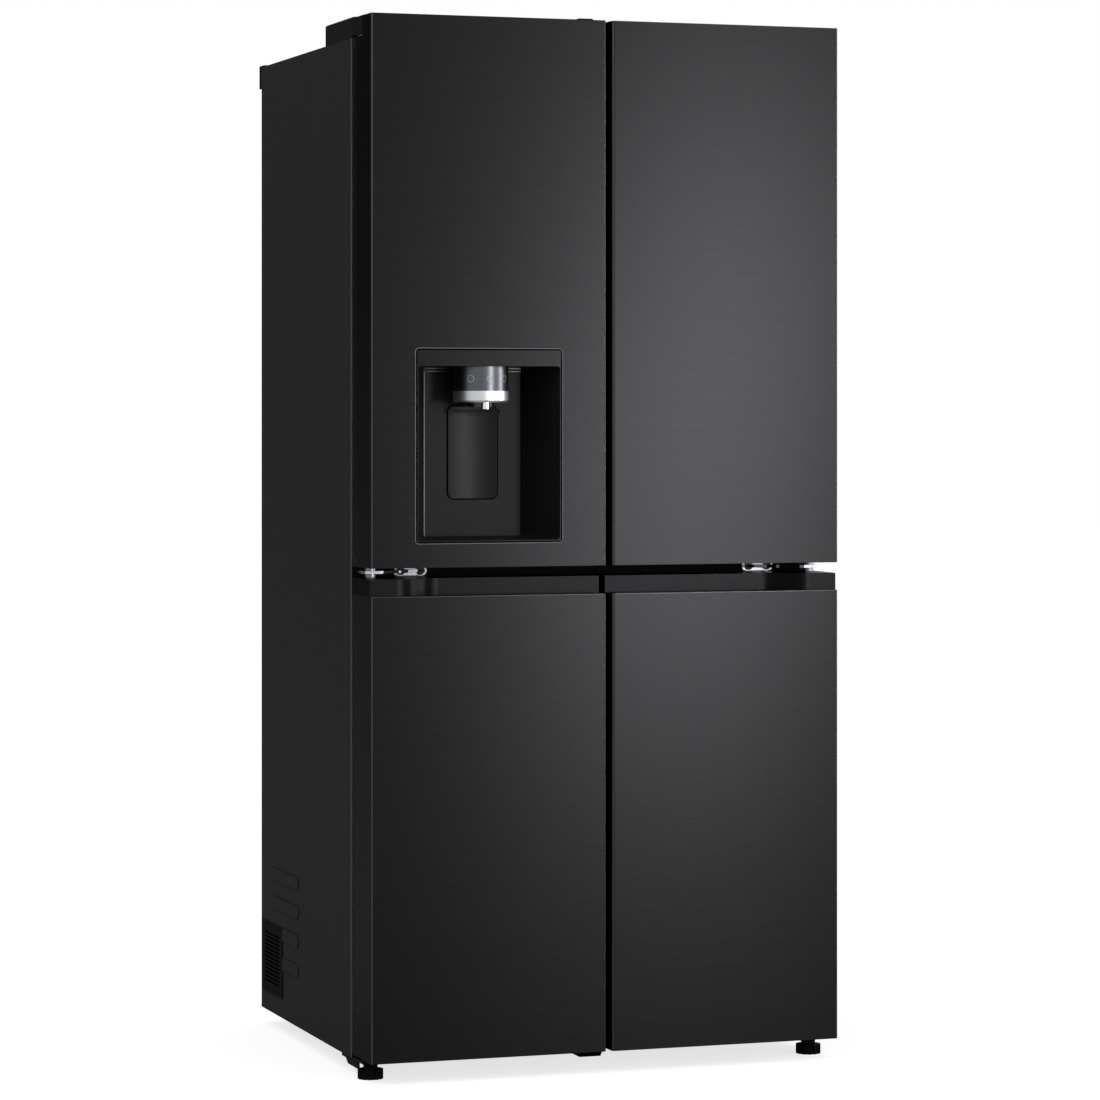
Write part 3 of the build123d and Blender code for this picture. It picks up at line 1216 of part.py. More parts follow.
# Evaporator cover: back wall of the freezer with air slots, a fan opening and the fan motor
fan_z = FREEZER_TOP - FAN_R - 2 * DRAWER_GAP
evap_back = EVAP_FACE + EVAP_COVER_T
with BuildPart() as evaporator_cover:
    block((-FRIDGE_HALF, FRIDGE_HALF), (EVAP_FACE, evap_back), (STEP_Z, FREEZER_TOP))
    with BuildSketch(upright(EVAP_FACE)):
        with Locations((0, fan_z)):
            Circle(FAN_R)
        with Locations((0, STEP_Z + VENT_PITCH)):
            with GridLocations(VENT_SLOT_L + VENT_PITCH, 0, EVAP_INLETS, 1):
                SlotOverall(VENT_SLOT_L, VENT_SLOT_H)
        for side in (-1, 1):
            with Locations((side * FRIDGE_HALF / 2, fan_z)):
                with GridLocations(0, VENT_PITCH, 1, EVAP_OUTLETS):
                    SlotOverall(2 * VENT_SLOT_L, VENT_SLOT_H)
    extrude(amount=-EVAP_COVER_T, mode=Mode.SUBTRACT)
    block((-FAN_R - SPIDER_W, FAN_R + SPIDER_W), (evap_back, evap_back + EVAP_COVER_T),
          (fan_z - SPIDER_W / 2, fan_z + SPIDER_W / 2))
    block((-SPIDER_W / 2, SPIDER_W / 2), (evap_back, evap_back + EVAP_COVER_T),
          (fan_z - FAN_R - SPIDER_W, fan_z + FAN_R + SPIDER_W))
    motor_y = (evap_back, evap_back + MOTOR_L)
    rod((0, fan_z), MOTOR_R, -motor_y[0], -motor_y[1], Plane.XZ)
    rod((0, fan_z), SHAFT_R, -motor_y[1], -motor_y[1] - SHAFT_L, Plane.XZ)
save(evaporator_cover, "evaporator_cover")


def fan_wheel(hub_plane):
    """A hub on its shaft with twisted blades, each lofted from a steep root to a flatter tip."""
    standing = (Align.CENTER, Align.CENTER, Align.MIN)
    sections = ((FAN_HUB_R - BLADE_T, BLADE_ROOT_PITCH), (FAN_R - 2 * MOVING_CLEARANCE, BLADE_PITCH))
    facing_out = Location((0, 0, 0), (0, 90, 0))
    with BuildPart(hub_plane) as wheel:
        Cylinder(FAN_HUB_R, FAN_HUB_L, align=standing)
        for number in range(FAN_BLADES):
            turn = Location((0, 0, FAN_HUB_L / 2), (0, 0, number * 360 / FAN_BLADES))
            spoke = hub_plane.location * turn
            faces = []
            for radius, pitch in sections:
                place = spoke * Location((radius, 0, 0), (pitch, 0, 0)) * facing_out
                with BuildSketch(Plane(place), mode=Mode.PRIVATE) as blade:
                    Rectangle(BLADE_T, BLADE_CHORD)
                faces.append(blade.sketch.face())
            loft(faces)
        Cylinder(SHAFT_R + RUN_CLEARANCE, SHAFT_L + SEAT_CLEARANCE, align=standing, mode=Mode.SUBTRACT)
    return wheel


# Evaporator fan, behind the cover on the motor's shaft
fan_centre = (0, motor_y[1] + SEAT_CLEARANCE, fan_z)
evaporator_fan = fan_wheel(Plane(fan_centre, x_dir=(1, 0, 0), z_dir=(0, 1, 0)))
save(evaporator_fan, "evaporator_fan")


def finned_block(x, y, z):
    """A heat exchanger: a coil pack with upright fins that stand out on both faces."""
    block((x[0], x[1]), (y[0] + FIN_PROUD, y[1] - FIN_PROUD), z)
    pitch = (x[1] - x[0] - FIN_T) / (FIN_COUNT - 1)
    for number in range(FIN_COUNT):
        left = x[0] + number * pitch
        block((left, left + FIN_T), y, (z[0], z[1]))
    middle = sum(y) / 2
    for number in range(TUBE_COUNT):
        level = z[0] + (number + 0.5) * (z[1] - z[0]) / TUBE_COUNT
        rod((middle, level), TUBE_R, x[0] - TUBE_OVERHANG, x[1] + TUBE_OVERHANG, Plane.YZ)


# Evaporator: stands on the liner's step behind the cover
with BuildPart() as evaporator:
    evap_y = (CAVITY_BACK - SEAT_CLEARANCE - EVAP_T, CAVITY_BACK - SEAT_CLEARANCE)
    finned_block((-EVAP_W / 2, EVAP_W / 2), evap_y, (STEP_Z, STEP_Z + EVAP_H))
save(evaporator, "evaporator")

# Condenser: stands on the base behind the left grille
machine_y = (MACHINE_FRONT + BASE_T + BACK_INSIDE) / 2
condenser_left = -CAB_HALF + GRILLE_DEPTH + TUBE_OVERHANG
condenser_x = (condenser_left, condenser_left + CONDENSER_L)
with BuildPart() as condenser:
    condenser_y = (machine_y - CONDENSER_W / 2 + ROLLER_R, machine_y + CONDENSER_W / 2)
    finned_block(condenser_x, condenser_y, (BASE_TOP + ROLLER_R, BASE_TOP + CONDENSER_H))
    for x in condenser_x:
        inward = x + FIN_T if x == condenser_x[0] else x - FIN_T
        leg_y = (condenser_y[1] - TUBE_R * TUBE_COUNT, condenser_y[1])
        block((x, inward), leg_y, (BASE_TOP, BASE_TOP + ROLLER_R))
save(condenser, "condenser")

# Condenser fan motor in its square shroud, which stands on the base
shroud_x = condenser_x[1] + TUBE_OVERHANG + MOVING_CLEARANCE
shroud_z = BASE_TOP + SHROUD_SIZE / 2
shaft_x = shroud_x + SHROUD_T + MOTOR_L
with BuildPart() as condenser_fan_motor:
    with BuildSketch(Plane.YZ.offset(shroud_x)):
        with Locations((machine_y, shroud_z)):
            Rectangle(SHROUD_SIZE, SHROUD_SIZE)
            Circle(FAN_R, mode=Mode.SUBTRACT)
            Rectangle(2 * FAN_R + SPIDER_W, SPIDER_W)
            Rectangle(SPIDER_W, 2 * FAN_R + SPIDER_W)
    extrude(amount=SHROUD_T)
    rod((machine_y, shroud_z), MOTOR_R, shroud_x, shaft_x, Plane.YZ)
    rod((machine_y, shroud_z), SHAFT_R, shaft_x, shaft_x + SHAFT_L, Plane.YZ)
save(condenser_fan_motor, "condenser_fan_motor")

fan_place = Plane((shaft_x + SEAT_CLEARANCE, machine_y, shroud_z), x_dir=(0, 1, 0), z_dir=(1, 0, 0))
condenser_fan = fan_wheel(fan_place)
save(condenser_fan, "condenser_fan")

# Drain pan on the base, near the right side
pan_x = (CAB_HALF - PAN_INSET - PAN_L, CAB_HALF - PAN_INSET)
with BuildPart() as drain_pan:
    pan_y = (machine_y - PAN_W / 2, machine_y + PAN_W / 2)
    open_box(pan_x, pan_y, (BASE_TOP, BASE_TOP + PAN_H), PAN_WALL, PAN_R)
save(drain_pan, "drain_pan")

# Compressor beside the pan: a domed shell on a base plate with four rubber feet
compressor_axis = (pan_x[0] - PAN_GAP - COMPRESSOR_BASE / 2, machine_y)
with BuildPart() as compressor:
    shell_low = BASE_TOP + COMPRESSOR_FOOT_H
    rod(compressor_axis, COMPRESSOR_R, shell_low, shell_low + COMPRESSOR_H)
    fillet(compressor.edges().group_by(Axis.Z)[-1], COMPRESSOR_DOME)
    chamfer(compressor.edges().group_by(Axis.Z)[0], length=COMPRESSOR_BEVEL)
    with BuildSketch(Plane.XY.offset(shell_low)):
        with Locations(compressor_axis):
            RectangleRounded(COMPRESSOR_BASE, COMPRESSOR_BASE, COMPRESSOR_FOOT_H)
    extrude(amount=COMPRESSOR_BASE_T)
    with BuildSketch(Plane.XY.offset(BASE_TOP)):
        with Locations(compressor_axis):
            with GridLocations(COMPRESSOR_FOOT_PITCH, COMPRESSOR_FOOT_PITCH, 2, 2):
                Circle(COMPRESSOR_FOOT_H)
    extrude(amount=COMPRESSOR_FOOT_H)
save(compressor, "compressor")

# Machine cover: closes the compartment at the back, with vents, a cord gland and a water inlet
with BuildPart() as machine_cover:
    cover_x = (-CAB_HALF + SHEET, CAB_HALF - SHEET)
    block(cover_x, (BACK_INSIDE, BACK_INSIDE + SHEET), (BASE_TOP, MACHINE_TOP))
    vent_z = (BASE_TOP + MACHINE_TOP) / 2
    with BuildSketch(upright(BACK_INSIDE)):
        with Locations((0, vent_z)):
            with GridLocations(VENT_SLOT_L + VENT_PITCH, VENT_PITCH, VENT_COLUMNS, VENT_SLOTS):
                SlotOverall(VENT_SLOT_L, VENT_SLOT_H)
    extrude(amount=-SHEET, mode=Mode.SUBTRACT)
    outlet_x = CAB_HALF - REAR_FLANGE - 2 * GLAND_R
    rear = (-BACK_INSIDE, -BACK_INSIDE - SHEET - GLAND_L)
    rod((outlet_x, vent_z), GLAND_R, *rear, Plane.XZ)
    rod((outlet_x, vent_z), GLAND_R / 2, *rear, Plane.XZ, Mode.SUBTRACT)
    rod((-outlet_x, vent_z), INLET_R, *rear, Plane.XZ)
    rod((-outlet_x, vent_z), INLET_R / 2, *rear, Plane.XZ, Mode.SUBTRACT)
save(machine_cover, "machine_cover")
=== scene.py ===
import math

import bmesh
import bpy
from bpy.props import FloatProperty, FloatVectorProperty, PointerProperty
from mathutils import Matrix, Quaternion, Vector


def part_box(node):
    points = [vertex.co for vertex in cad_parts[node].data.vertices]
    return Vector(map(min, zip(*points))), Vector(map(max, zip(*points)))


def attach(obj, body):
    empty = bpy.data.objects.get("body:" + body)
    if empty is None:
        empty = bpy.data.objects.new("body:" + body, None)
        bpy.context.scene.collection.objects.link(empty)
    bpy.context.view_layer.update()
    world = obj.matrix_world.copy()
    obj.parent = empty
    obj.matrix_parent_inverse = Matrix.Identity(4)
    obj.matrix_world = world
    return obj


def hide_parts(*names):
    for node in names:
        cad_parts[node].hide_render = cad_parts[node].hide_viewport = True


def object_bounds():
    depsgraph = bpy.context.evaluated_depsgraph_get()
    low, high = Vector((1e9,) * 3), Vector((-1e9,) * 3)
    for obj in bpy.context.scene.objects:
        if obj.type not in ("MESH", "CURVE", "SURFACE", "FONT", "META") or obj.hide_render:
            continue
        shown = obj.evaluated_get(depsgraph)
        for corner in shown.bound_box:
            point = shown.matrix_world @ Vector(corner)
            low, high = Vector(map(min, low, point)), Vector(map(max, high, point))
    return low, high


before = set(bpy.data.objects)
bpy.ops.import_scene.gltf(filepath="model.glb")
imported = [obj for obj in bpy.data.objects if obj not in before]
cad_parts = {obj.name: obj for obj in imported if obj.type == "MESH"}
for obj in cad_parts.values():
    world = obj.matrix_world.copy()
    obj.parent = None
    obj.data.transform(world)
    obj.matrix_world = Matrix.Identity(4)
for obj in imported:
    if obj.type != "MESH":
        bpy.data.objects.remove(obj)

bl_info = {
    "name": "Four-Door Refrigerator",
    "version": (1, 0, 0),
    "blender": (4, 5, 0),
    "location": "View3D > Sidebar > Refrigerator",
    "description": "Finishes, small fittings and a studio stage for a four-door refrigerator",
    "category": "Object",
}

MM = 0.001
CAD_LOW, CAD_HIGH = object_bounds()
BOX = {name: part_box(name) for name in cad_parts}
SIDES = (("left", -1), ("right", 1))
DOORS = [f"{level}_{side}" for level in ("upper", "lower") for side, _ in SIDES]
# Corners closer than this are one corner, and a sharper bend than this is an edge
MERGE = 0.01 * MM
SHARP = math.radians(32)
# Steps round a turned piece
ROUND = 24
# Turns a flat shape upright, to face the front
UPRIGHT = Matrix.Rotation(math.radians(90), 4, "X")
# Shares of a screw head's radius and height, from the floor of its socket over the dome to its seat
SOCKET = 0.52
SCREW = ((0.0, 0.3), (SOCKET, 0.3), (SOCKET, 0.95), (0.8, 0.9), (0.96, 0.6), (1.0, 0.25), (1.0, 0.0))
# Shares of a seal's width from its outer edge, and of its depth, round its section
SECTION = (
    (0.0, 0.0), (0.0, 0.26), (0.06, 0.36), (0.2, 0.42), (0.1, 0.56), (0.2, 0.7), (0.2, 0.9), (0.27, 1.0),
    (0.73, 1.0), (0.8, 0.9), (0.8, 0.7), (0.9, 0.56), (0.8, 0.42), (0.94, 0.36), (1.0, 0.26), (1.0, 0.0),
    (0.0, 0.0),
)
# Towards the black cloth that stands behind the left side of the stage
CLOTH = (-0.5, 0.866, 0.0)
# How far the roughness of a moulded or plated surface strays to either side
STRAY = 0.06
WHITE = (1.0, 1.0, 1.0, 1.0)


def linear(code):
    """An sRGB hex colour as linear red, green and blue."""
    channels = [int(code[start:start + 2], 16) / 255 for start in (1, 3, 5)]
    return tuple(c / 12.92 if c <= 0.04045 else ((c + 0.055) / 1.055) ** 2.4 for c in channels)


def colour(name, description, code):
    """A colour that a user may change, given as an sRGB hex value."""
    return FloatVectorProperty(
        name=name, description=description, subtype="COLOR", size=3, min=0.0, max=1.0, default=linear(code)
    )


def number(name, description, value, **kinds):
    """A number that a user may change."""
    return FloatProperty(name=name, description=description, default=value, **kinds)


def length(name, description, millimetres, low=0.0):
    """A size that a user may change, given in millimetres."""
    return number(
        name, description, millimetres * MM, subtype="DISTANCE", unit="LENGTH", min=low, precision=4)


class RefrigeratorColours(bpy.types.PropertyGroup):
    """Colours of the finishes."""

    door_steel: colour("Door steel", "Dark coated stainless of the four door skins", "#1e1e1f")
    cabinet_paint: colour("Cabinet paint", "Powder coat on the folded cabinet sheets", "#28282a")
    cover_plastic: colour("Cover plastic", "Hinge covers and rear cap", "#1b1b1e")
    # Also used for painted shade on the frame's front face and on the hinge arms
    black_plastic: colour("Black plastic", "Moulded caps, grilles, feet and brackets", "#101012")
    grip_plastic: colour("Grip plastic", "Moulded strips of the pocket grips", "#141415")
    bezel_steel: colour("Bezel steel", "Brushed frame of the dispenser", "#1d1d1e")
    recess_plastic: colour("Recess plastic", "Dispenser housing and paddle", "#111112")
    spout_metal: colour("Spout metal", "Dark plated sleeve of the spout", "#606266")
    bright_metal: colour("Bright metal", "Plated top hinges, sheet screws, spout ring and tube", "#dadcde")
    hinge_metal: colour("Hinge metal", "Zinc-plated middle hinges and washers", "#8c8e92")
    # Lighter than the door steel: a painted highlight on the rolled edge of the skin
    edge_highlight_metal: colour("Edge metal", "Rolled edge round the dispenser", "#64666a")
    screw_metal: colour("Screw metal", "Blackened screw heads", "#2c2d2f")
    mark_ink: colour("Mark ink", "Small printed marks on the spout", "#a4a6aa")
    # Lightened 2.2 times, it is also the painted highlight on the back corner of the dispenser's recess
    lens_smoke: colour("Lens smoke", "Smoked lenses of the dispenser's lamps", "#5a5c60")
    white_plastic: colour("White plastic", "Liners, inner doors and ice room", "#e4e7e9")
    clear_plastic: colour("Clear plastic", "Bins and drawers", "#f2f7f8")
    seal: colour("Seal", "Soft door gaskets", "#0c0c0d")
    zinc: colour("Zinc", "Galvanised back, base and machine cover", "#9fa2a4")
    foam: colour("Foam", "Insulation between liner and shell", "#d8c48e")


class RefrigeratorSizes(bpy.types.PropertyGroup):
    """Sizes of the small fittings."""

    screw_radius: length("Screw radius", "Head of the hinge screws", 7.4)
    screw_height: length("Screw height", "Head of the hinge screws", 3.0)
    washer_radius: length("Washer radius", "Washer under a hinge screw", 8.7)
    washer_height: length("Washer height", "Washer under a hinge screw", 0.8)
    screw_pitch: length("Screw pitch", "Between the two screws of a middle hinge", 34.0)
    small_screw_radius: length("Small screw radius", "Head of the sheet screws at the back", 4.0)
    small_screw_height: length("Small screw height", "Head of the sheet screws at the back", 2.0)
    screw_edge: length("Screw edge", "From a sheet's edge to its screws", 9.0)
    window_gap: length("Window gap", "Between the dispenser's bezel and the door skin", 1.5)
    window_edge: length("Window edge", "Width of the rolled edge round the dispenser", 1.0)
    window_depth: length("Window depth", "Depth of the rolled edge round the dispenser", 2.5)
    window_corner: length("Window corner", "Corner radius of the rolled edge", 6.5)
    mark_size: length("Mark size", "Small printed marks on the spout", 12.0)
    mark_pitch: length("Mark pitch", "Between the printed marks", 32.0)
    mark_line: length("Mark line", "Line of the printed marks", 0.9)
    tube_radius: length("Tube radius", "Water tube under the spout", 7.0)
    tube_length: length("Tube length", "Water tube under the spout", 11.5)
    tube_front: length("Tube front", "From the spout's axis forward to the water tube", 35.0)
    tube_left: length("Tube left", "From the spout's axis to the left to the water tube", 3.4)
    lamp_length: length("Lamp length", "Lamp strips at the top of the dispenser's back wall", 38.0)
    lamp_height: length("Lamp height", "Lamp strips at the top of the dispenser's back wall", 2.6)
    lamp_pitch: length("Lamp pitch", "Between two lamp strips", 5.0)
    lamp_drop: length("Lamp drop", "From the top of the recess to the lower lamp strip", 9.0)
    lamp_reach: length("Lamp reach", "From the middle of the recess to the end of a lamp strip", 85.0)
    trim_height: length("Trim height", "Trims on the shelf edges", 16.0)
    trim_depth: length("Trim depth", "Trims on the shelf edges", 11.0)
    drawer_trim: length("Drawer trim", "Height of the strips on the drawer fronts", 24.0)
    strip_inset: length("Strip inset", "From a drawer's side to the end of its strip", 13.0)
    lens_length: length("Lens length", "Lamp lens in the ceiling of the compartment", 300.0)
    lens_width: length("Lens width", "Lamp lens in the ceiling of the compartment", 64.0)
    lens_drop: length("Lens drop", "How far the lamp lens stands below the ceiling", 7.0)
    liner_wall: length("Liner wall", "Sheet of the moulded liners", 2.0)
    seal_width: length("Seal width", "Width of the door seals", 14.0)
    plate_centre: length("Plate centre", "From the centre line to the middle of a hinge plate", 315.0)
    arm_start: length("Arm start", "From the centre line to the coated part of a hinge arm", 344.0)
    arm_end: length("Arm end", "From the centre line to the bare end of a hinge arm", 376.0)
    lamp_front: length("Lamp front", "Front face of the dispenser's lamp strips", -277.0, CAD_LOW.y)
    plate_front: length("Plate front", "Front face of the hinge plates", -251.0, CAD_LOW.y)
    back_face: length("Back face", "Rear face of the back sheets", 351.0)


class RefrigeratorStage(bpy.types.PropertyGroup):
    """Floor, lights and camera."""

    floor: colour("Floor", "Plain pale floor", "#a0a0a0")
    floor_glow: number("Floor glow", "White of the floor in the picture", 0.74)
    dark_side: number("Dark side", "Light that is left behind the left side", 0.1)
    panel_power: number("Panel power", "Soft panel mirrored in the doors", 65.5)
    panel_lean: number("Panel lean", "Lean of its top to the right", math.radians(16), subtype="ANGLE")
    side_power: number("Side power", "Soft panel at the right side", 55.0)
    fill_power: number("Fill power", "Soft panel over the object, to the left", 60.0)
    camera_place: FloatVectorProperty(
        name="Camera place", description="Where the level camera stands", subtype="TRANSLATION",
        unit="LENGTH", size=3, default=(-2.21846, -6.53871, 1.12303),
    )
    yaw: number("Yaw", "Turn of the camera towards the right", math.radians(18.8975), subtype="ANGLE")
    lens: number("Lens", "Focal length on a 36 mm sensor", 127.413)
    shift: number("Shift", "Shift of the picture upwards, as a share of its width", -0.13087)


def settings(context):
    """The colours and the sizes that a user may change."""
    return context.scene.refrigerator_colours, context.scene.refrigerator_sizes


def add_node(material, kind, inputs, output=None, **choices):
    """Add one shader node to a material or world, set or link its inputs, and return it or one output."""
    node = material.node_tree.nodes.new("ShaderNode" + kind)
    for name, value in choices.items():
        setattr(node, name, value)
    for name, value in inputs.items():
        if isinstance(value, bpy.types.NodeSocket):
            material.node_tree.links.new(value, node.inputs[name])
        else:
            node.inputs[name].default_value = value
    return node if output is None else node.outputs[output]


def new_material(name):
    """An empty node material."""
    material = bpy.data.materials.new(name)
    material.use_nodes = True
    material.node_tree.nodes.clear()
    return material


def shaded(rgb, factor=1.0):
    """A lighter or darker colour with full alpha, for a colour socket."""
    return (*(min(1.0, c * factor) for c in rgb), 1.0)


def brushed_steel(name, rgb):
    """Stainless sheet, belt-brushed level and coated dark.

    The brush lines spread reflections up and down, so a light becomes a soft upright band. Real lines
    are about 0.2 mm apart; they are drawn 1.6 mm apart and 90 mm long so that they show in a render,
    over bands about 7 mm wide where the belt bit deeper. The coating keeps the edges dark from the side.
    A painted highlight makes the colour six times lighter on the rounded bends between front and side
    and along the top of the lower doors, which show as light lines.
    """
    material = new_material(name)
    place = add_node(material, "TexCoord", {}, "Object")
    shades = []
    for pitch, run in ((1.6 * MM, 90 * MM), (7 * MM, 420 * MM)):
        along = add_node(
            material, "Mapping", {"Vector": place, "Scale": (1 / run, 1 / run, 1 / pitch)}, "Vector")
        lines = {"Vector": along, "Scale": 1.0, "Detail": 3.0, "Roughness": 0.6}
        shades.append(add_node(material, "TexNoise", lines, "Fac"))
    both = add_node(material, "Mix", {0: 0.35, 2: shades[0], 3: shades[1]}, 0)
    tone = add_node(
        material, "Mix", {0: both, 6: shaded(rgb, 0.86), 7: shaded(rgb, 1.14)}, 2, data_type="RGBA")
    gloss = add_node(material, "MapRange", {"Value": both, "To Min": 0.24, "To Max": 0.31}, "Result")
    # Painted highlight: six times lighter where front turns to side, and along the top of the lower doors
    facing = add_node(material, "NewGeometry", {}, "Normal")
    turn = add_node(material, "SeparateXYZ", {"Vector": facing}).outputs
    corner = add_node(material, "Math", {0: turn["X"], 1: turn["Y"]}, "Value", operation="MULTIPLY")
    bend = add_node(material, "Math", {0: corner}, "Value", operation="ABSOLUTE")
    fold_highlight_mask = add_node(material, "MapRange", {"Value": bend, "From Min": 0.1, "From Max": 0.45}, "Result")
    level = add_node(material, "SeparateXYZ", {"Vector": place}, "Z")
    top = BOX["lower_left_skin"][1].z
    upper = add_node(material, "Math", {0: level, 1: top, 2: 0.7 * MM}, "Value", operation="COMPARE")
    painted_highlight = add_node(material, "Math", {0: fold_highlight_mask, 1: upper}, "Value", operation="MAXIMUM")
    shade = add_node(material, "Mix", {0: painted_highlight, 6: tone, 7: shaded(rgb, 6)}, 2, data_type="RGBA")
    rim = add_node(material, "Bevel", {"Radius": 1.2 * MM}, "Normal")
    bump = add_node(
        material, "Bump", {"Height": both, "Strength": 0.03, "Distance": 0.1 * MM, "Normal": rim}, "Normal")
    tangent = add_node(material, "Tangent", {}, "Tangent", direction_type="RADIAL", axis="Z")
    shader = add_node(material, "BsdfPrincipled", {
        "Base Color": shade, "Metallic": 1.0, "Roughness": gloss, "Specular Tint": shaded(WHITE[:3], 0.5),
        "Anisotropic": 0.63, "Anisotropic Rotation": 0.25, "Tangent": tangent, "Normal": bump}, "BSDF")
    add_node(material, "OutputMaterial", {"Surface": shader})
    return material


def cabinet_paint(colours):
    """Polyester powder coat on steel sheet: an even satin with a fine orange peel of about 2.5 mm.

    Pressed ribs have soft edges, about 5 mm wide. A painted highlight lightens the colour into a thin line
    along the front fold, and the front face of the frame is painted black, as painted shadow of the gap.
    """
    material = new_material("powder_coated_steel")
    paint = colours.cabinet_paint
    place = add_node(material, "TexCoord", {}, "Object")
    peel = add_node(material, "TexNoise", {"Vector": place, "Scale": 1 / (2.5 * MM), "Detail": 2.0}, "Fac")
    tone = add_node(
        material, "Mix", {0: peel, 6: shaded(paint, 0.85), 7: shaded(paint, 1.15)}, 2, data_type="RGBA")
    depth = add_node(material, "SeparateXYZ", {"Vector": place}, "Y")
    front = BOX["side_panel_left"][0].y
    # Painted highlight 3.4 times lighter near the front fold, and painted shadow in black on the front face
    for reach, shade in ((8 * MM, shaded(paint, 3.4)), (0.3 * MM, shaded(colours.black_plastic))):
        near = add_node(material, "Math", {0: depth, 1: front + reach}, "Value", operation="LESS_THAN")
        tone = add_node(material, "Mix", {0: near, 6: tone, 7: shade}, 2, data_type="RGBA")
    gloss = add_node(material, "MapRange", {"Value": peel, "To Min": 0.55, "To Max": 0.65}, "Result")
    rim = add_node(material, "Bevel", {"Radius": 5 * MM}, "Normal")
    bump = add_node(
        material, "Bump", {"Height": peel, "Strength": 0.15, "Distance": 0.2 * MM, "Normal": rim}, "Normal")
    shader = add_node(material, "BsdfPrincipled", {
        "Base Color": tone, "Roughness": gloss, "Specular IOR Level": 0.03, "Normal": bump}, "BSDF")
    add_node(material, "OutputMaterial", {"Surface": shader})
    return material


def moulded_plastic(name, rgb, roughness, grain, specular, corner=0.8 * MM, dish=None):
    """Injection-moulded ABS: satin, with the fine spark grain of its tool, which breaks up highlights.

    The corner is the radius that its edges seem to have. A dish is the middle of a slightly hollow face,
    whose sheen fades across it as on a trough of 220 mm radius.
    """
    material = new_material(name)
    place = add_node(material, "TexCoord", {}, "Object")
    sparks = add_node(material, "TexNoise", {"Vector": place, "Scale": 1 / grain, "Detail": 3.0}, "Fac")
    facing = add_node(material, "Bevel", {"Radius": corner}, "Normal")
    if dish:
        towards = add_node(material, "VectorMath", {0: dish, 1: place}, "Vector", operation="SUBTRACT")
        hollow = (1 / (220 * MM), 0.0, 0.0)
        lean = add_node(
            material, "VectorMath", {0: towards, 1: hollow, 2: facing}, "Vector", operation="MULTIPLY_ADD")
        facing = add_node(material, "VectorMath", {0: lean}, "Vector", operation="NORMALIZE")
    bump = add_node(material, "Bump", {
        "Height": sparks, "Strength": 0.1, "Distance": 0.1 * MM, "Normal": facing}, "Normal")
    tone = add_node(
        material, "Mix", {0: sparks, 6: shaded(rgb, 0.93), 7: shaded(rgb, 1.07)}, 2, data_type="RGBA")
    gloss = add_node(material, "MapRange", {
        "Value": sparks, "To Min": roughness - STRAY, "To Max": roughness + STRAY}, "Result")
    shader = add_node(material, "BsdfPrincipled", {
        "Base Color": tone, "Roughness": gloss, "IOR": 1.53, "Specular IOR Level": specular,
        "Normal": bump}, "BSDF")
    add_node(material, "OutputMaterial", {"Surface": shader})
    return material


def plated_metal(name, rgb, roughness, corner=0.6 * MM, edge=1.0):
    """Plated steel: bright, with the soft streaks of rolling and polishing about 4 mm apart.

    The corner is the radius that its edges seem to have. The edge is how much light it returns from the side.
    """
    material = new_material(name)
    place = add_node(material, "TexCoord", {}, "Object")
    streaks = add_node(material, "TexNoise", {"Vector": place, "Scale": 1 / (4 * MM), "Detail": 3.0}, "Fac")
    gloss = add_node(material, "MapRange", {
        "Value": streaks, "To Min": roughness - STRAY, "To Max": roughness + STRAY}, "Result")
    rim = add_node(material, "Bevel", {"Radius": corner}, "Normal")
    shader = add_node(material, "BsdfPrincipled", {
        "Base Color": shaded(rgb), "Metallic": 1.0, "Roughness": gloss,
        "Specular Tint": shaded(WHITE[:3], edge), "Normal": rim}, "BSDF")
    add_node(material, "OutputMaterial", {"Surface": shader})
    return material


def lay_over(material, mask, shade):
    """Give a finished material another base colour where a mask is 1."""
    nodes = material.node_tree.nodes
    base = next(node for node in nodes if node.bl_idname == "ShaderNodeBsdfPrincipled").inputs["Base Color"]
    below = base.links[0].from_socket if base.is_linked else tuple(base.default_value)
    tone = add_node(material, "Mix", {0: mask, 6: below, 7: shade}, 2, data_type="RGBA")
    material.node_tree.links.new(tone, base)
    return material


def painted_corner_highlight(material, x, y, width, shade):
    """Paint a highlight into a plastic's colour along an upright rounded corner behind y, where it would
    catch the light.
    """
    place = add_node(material, "TexCoord", {}, "Object")
    at = add_node(material, "SeparateXYZ", {"Vector": place}).outputs
    near = add_node(material, "Math", {0: at["X"], 1: x, 2: width / 2}, "Value", operation="COMPARE")
    deep = add_node(material, "Math", {0: at["Y"], 1: y}, "Value", operation="GREATER_THAN")
    both = add_node(material, "Math", {0: near, 1: deep}, "Value", operation="MULTIPLY")
    return lay_over(material, both, shade)


def painted_gap_shadow(material, low, high, width):
    """Paint shadow in black into a plate's colour along its outline, where it drops into the gap round it."""
    place = add_node(material, "TexCoord", {}, "Object")
    shift = add_node(material, "VectorMath", {0: place, 1: (low + high) / 2}, "Vector", operation="SUBTRACT")
    away = add_node(material, "VectorMath", {0: shift}, "Vector", operation="ABSOLUTE")
    inside = (high - low) / 2 - Vector((width, width, width))
    past = add_node(material, "VectorMath", {0: away, 1: inside}, "Vector", operation="SUBTRACT")
    sides = add_node(material, "SeparateXYZ", {"Vector": past}).outputs
    most = add_node(material, "Math", {0: sides["X"], 1: sides["Z"]}, "Value", operation="MAXIMUM")
    rim = add_node(material, "Math", {0: most, 1: 0.0}, "Value", operation="GREATER_THAN")
    return lay_over(material, rim, (0.0, 0.0, 0.0, 1.0))


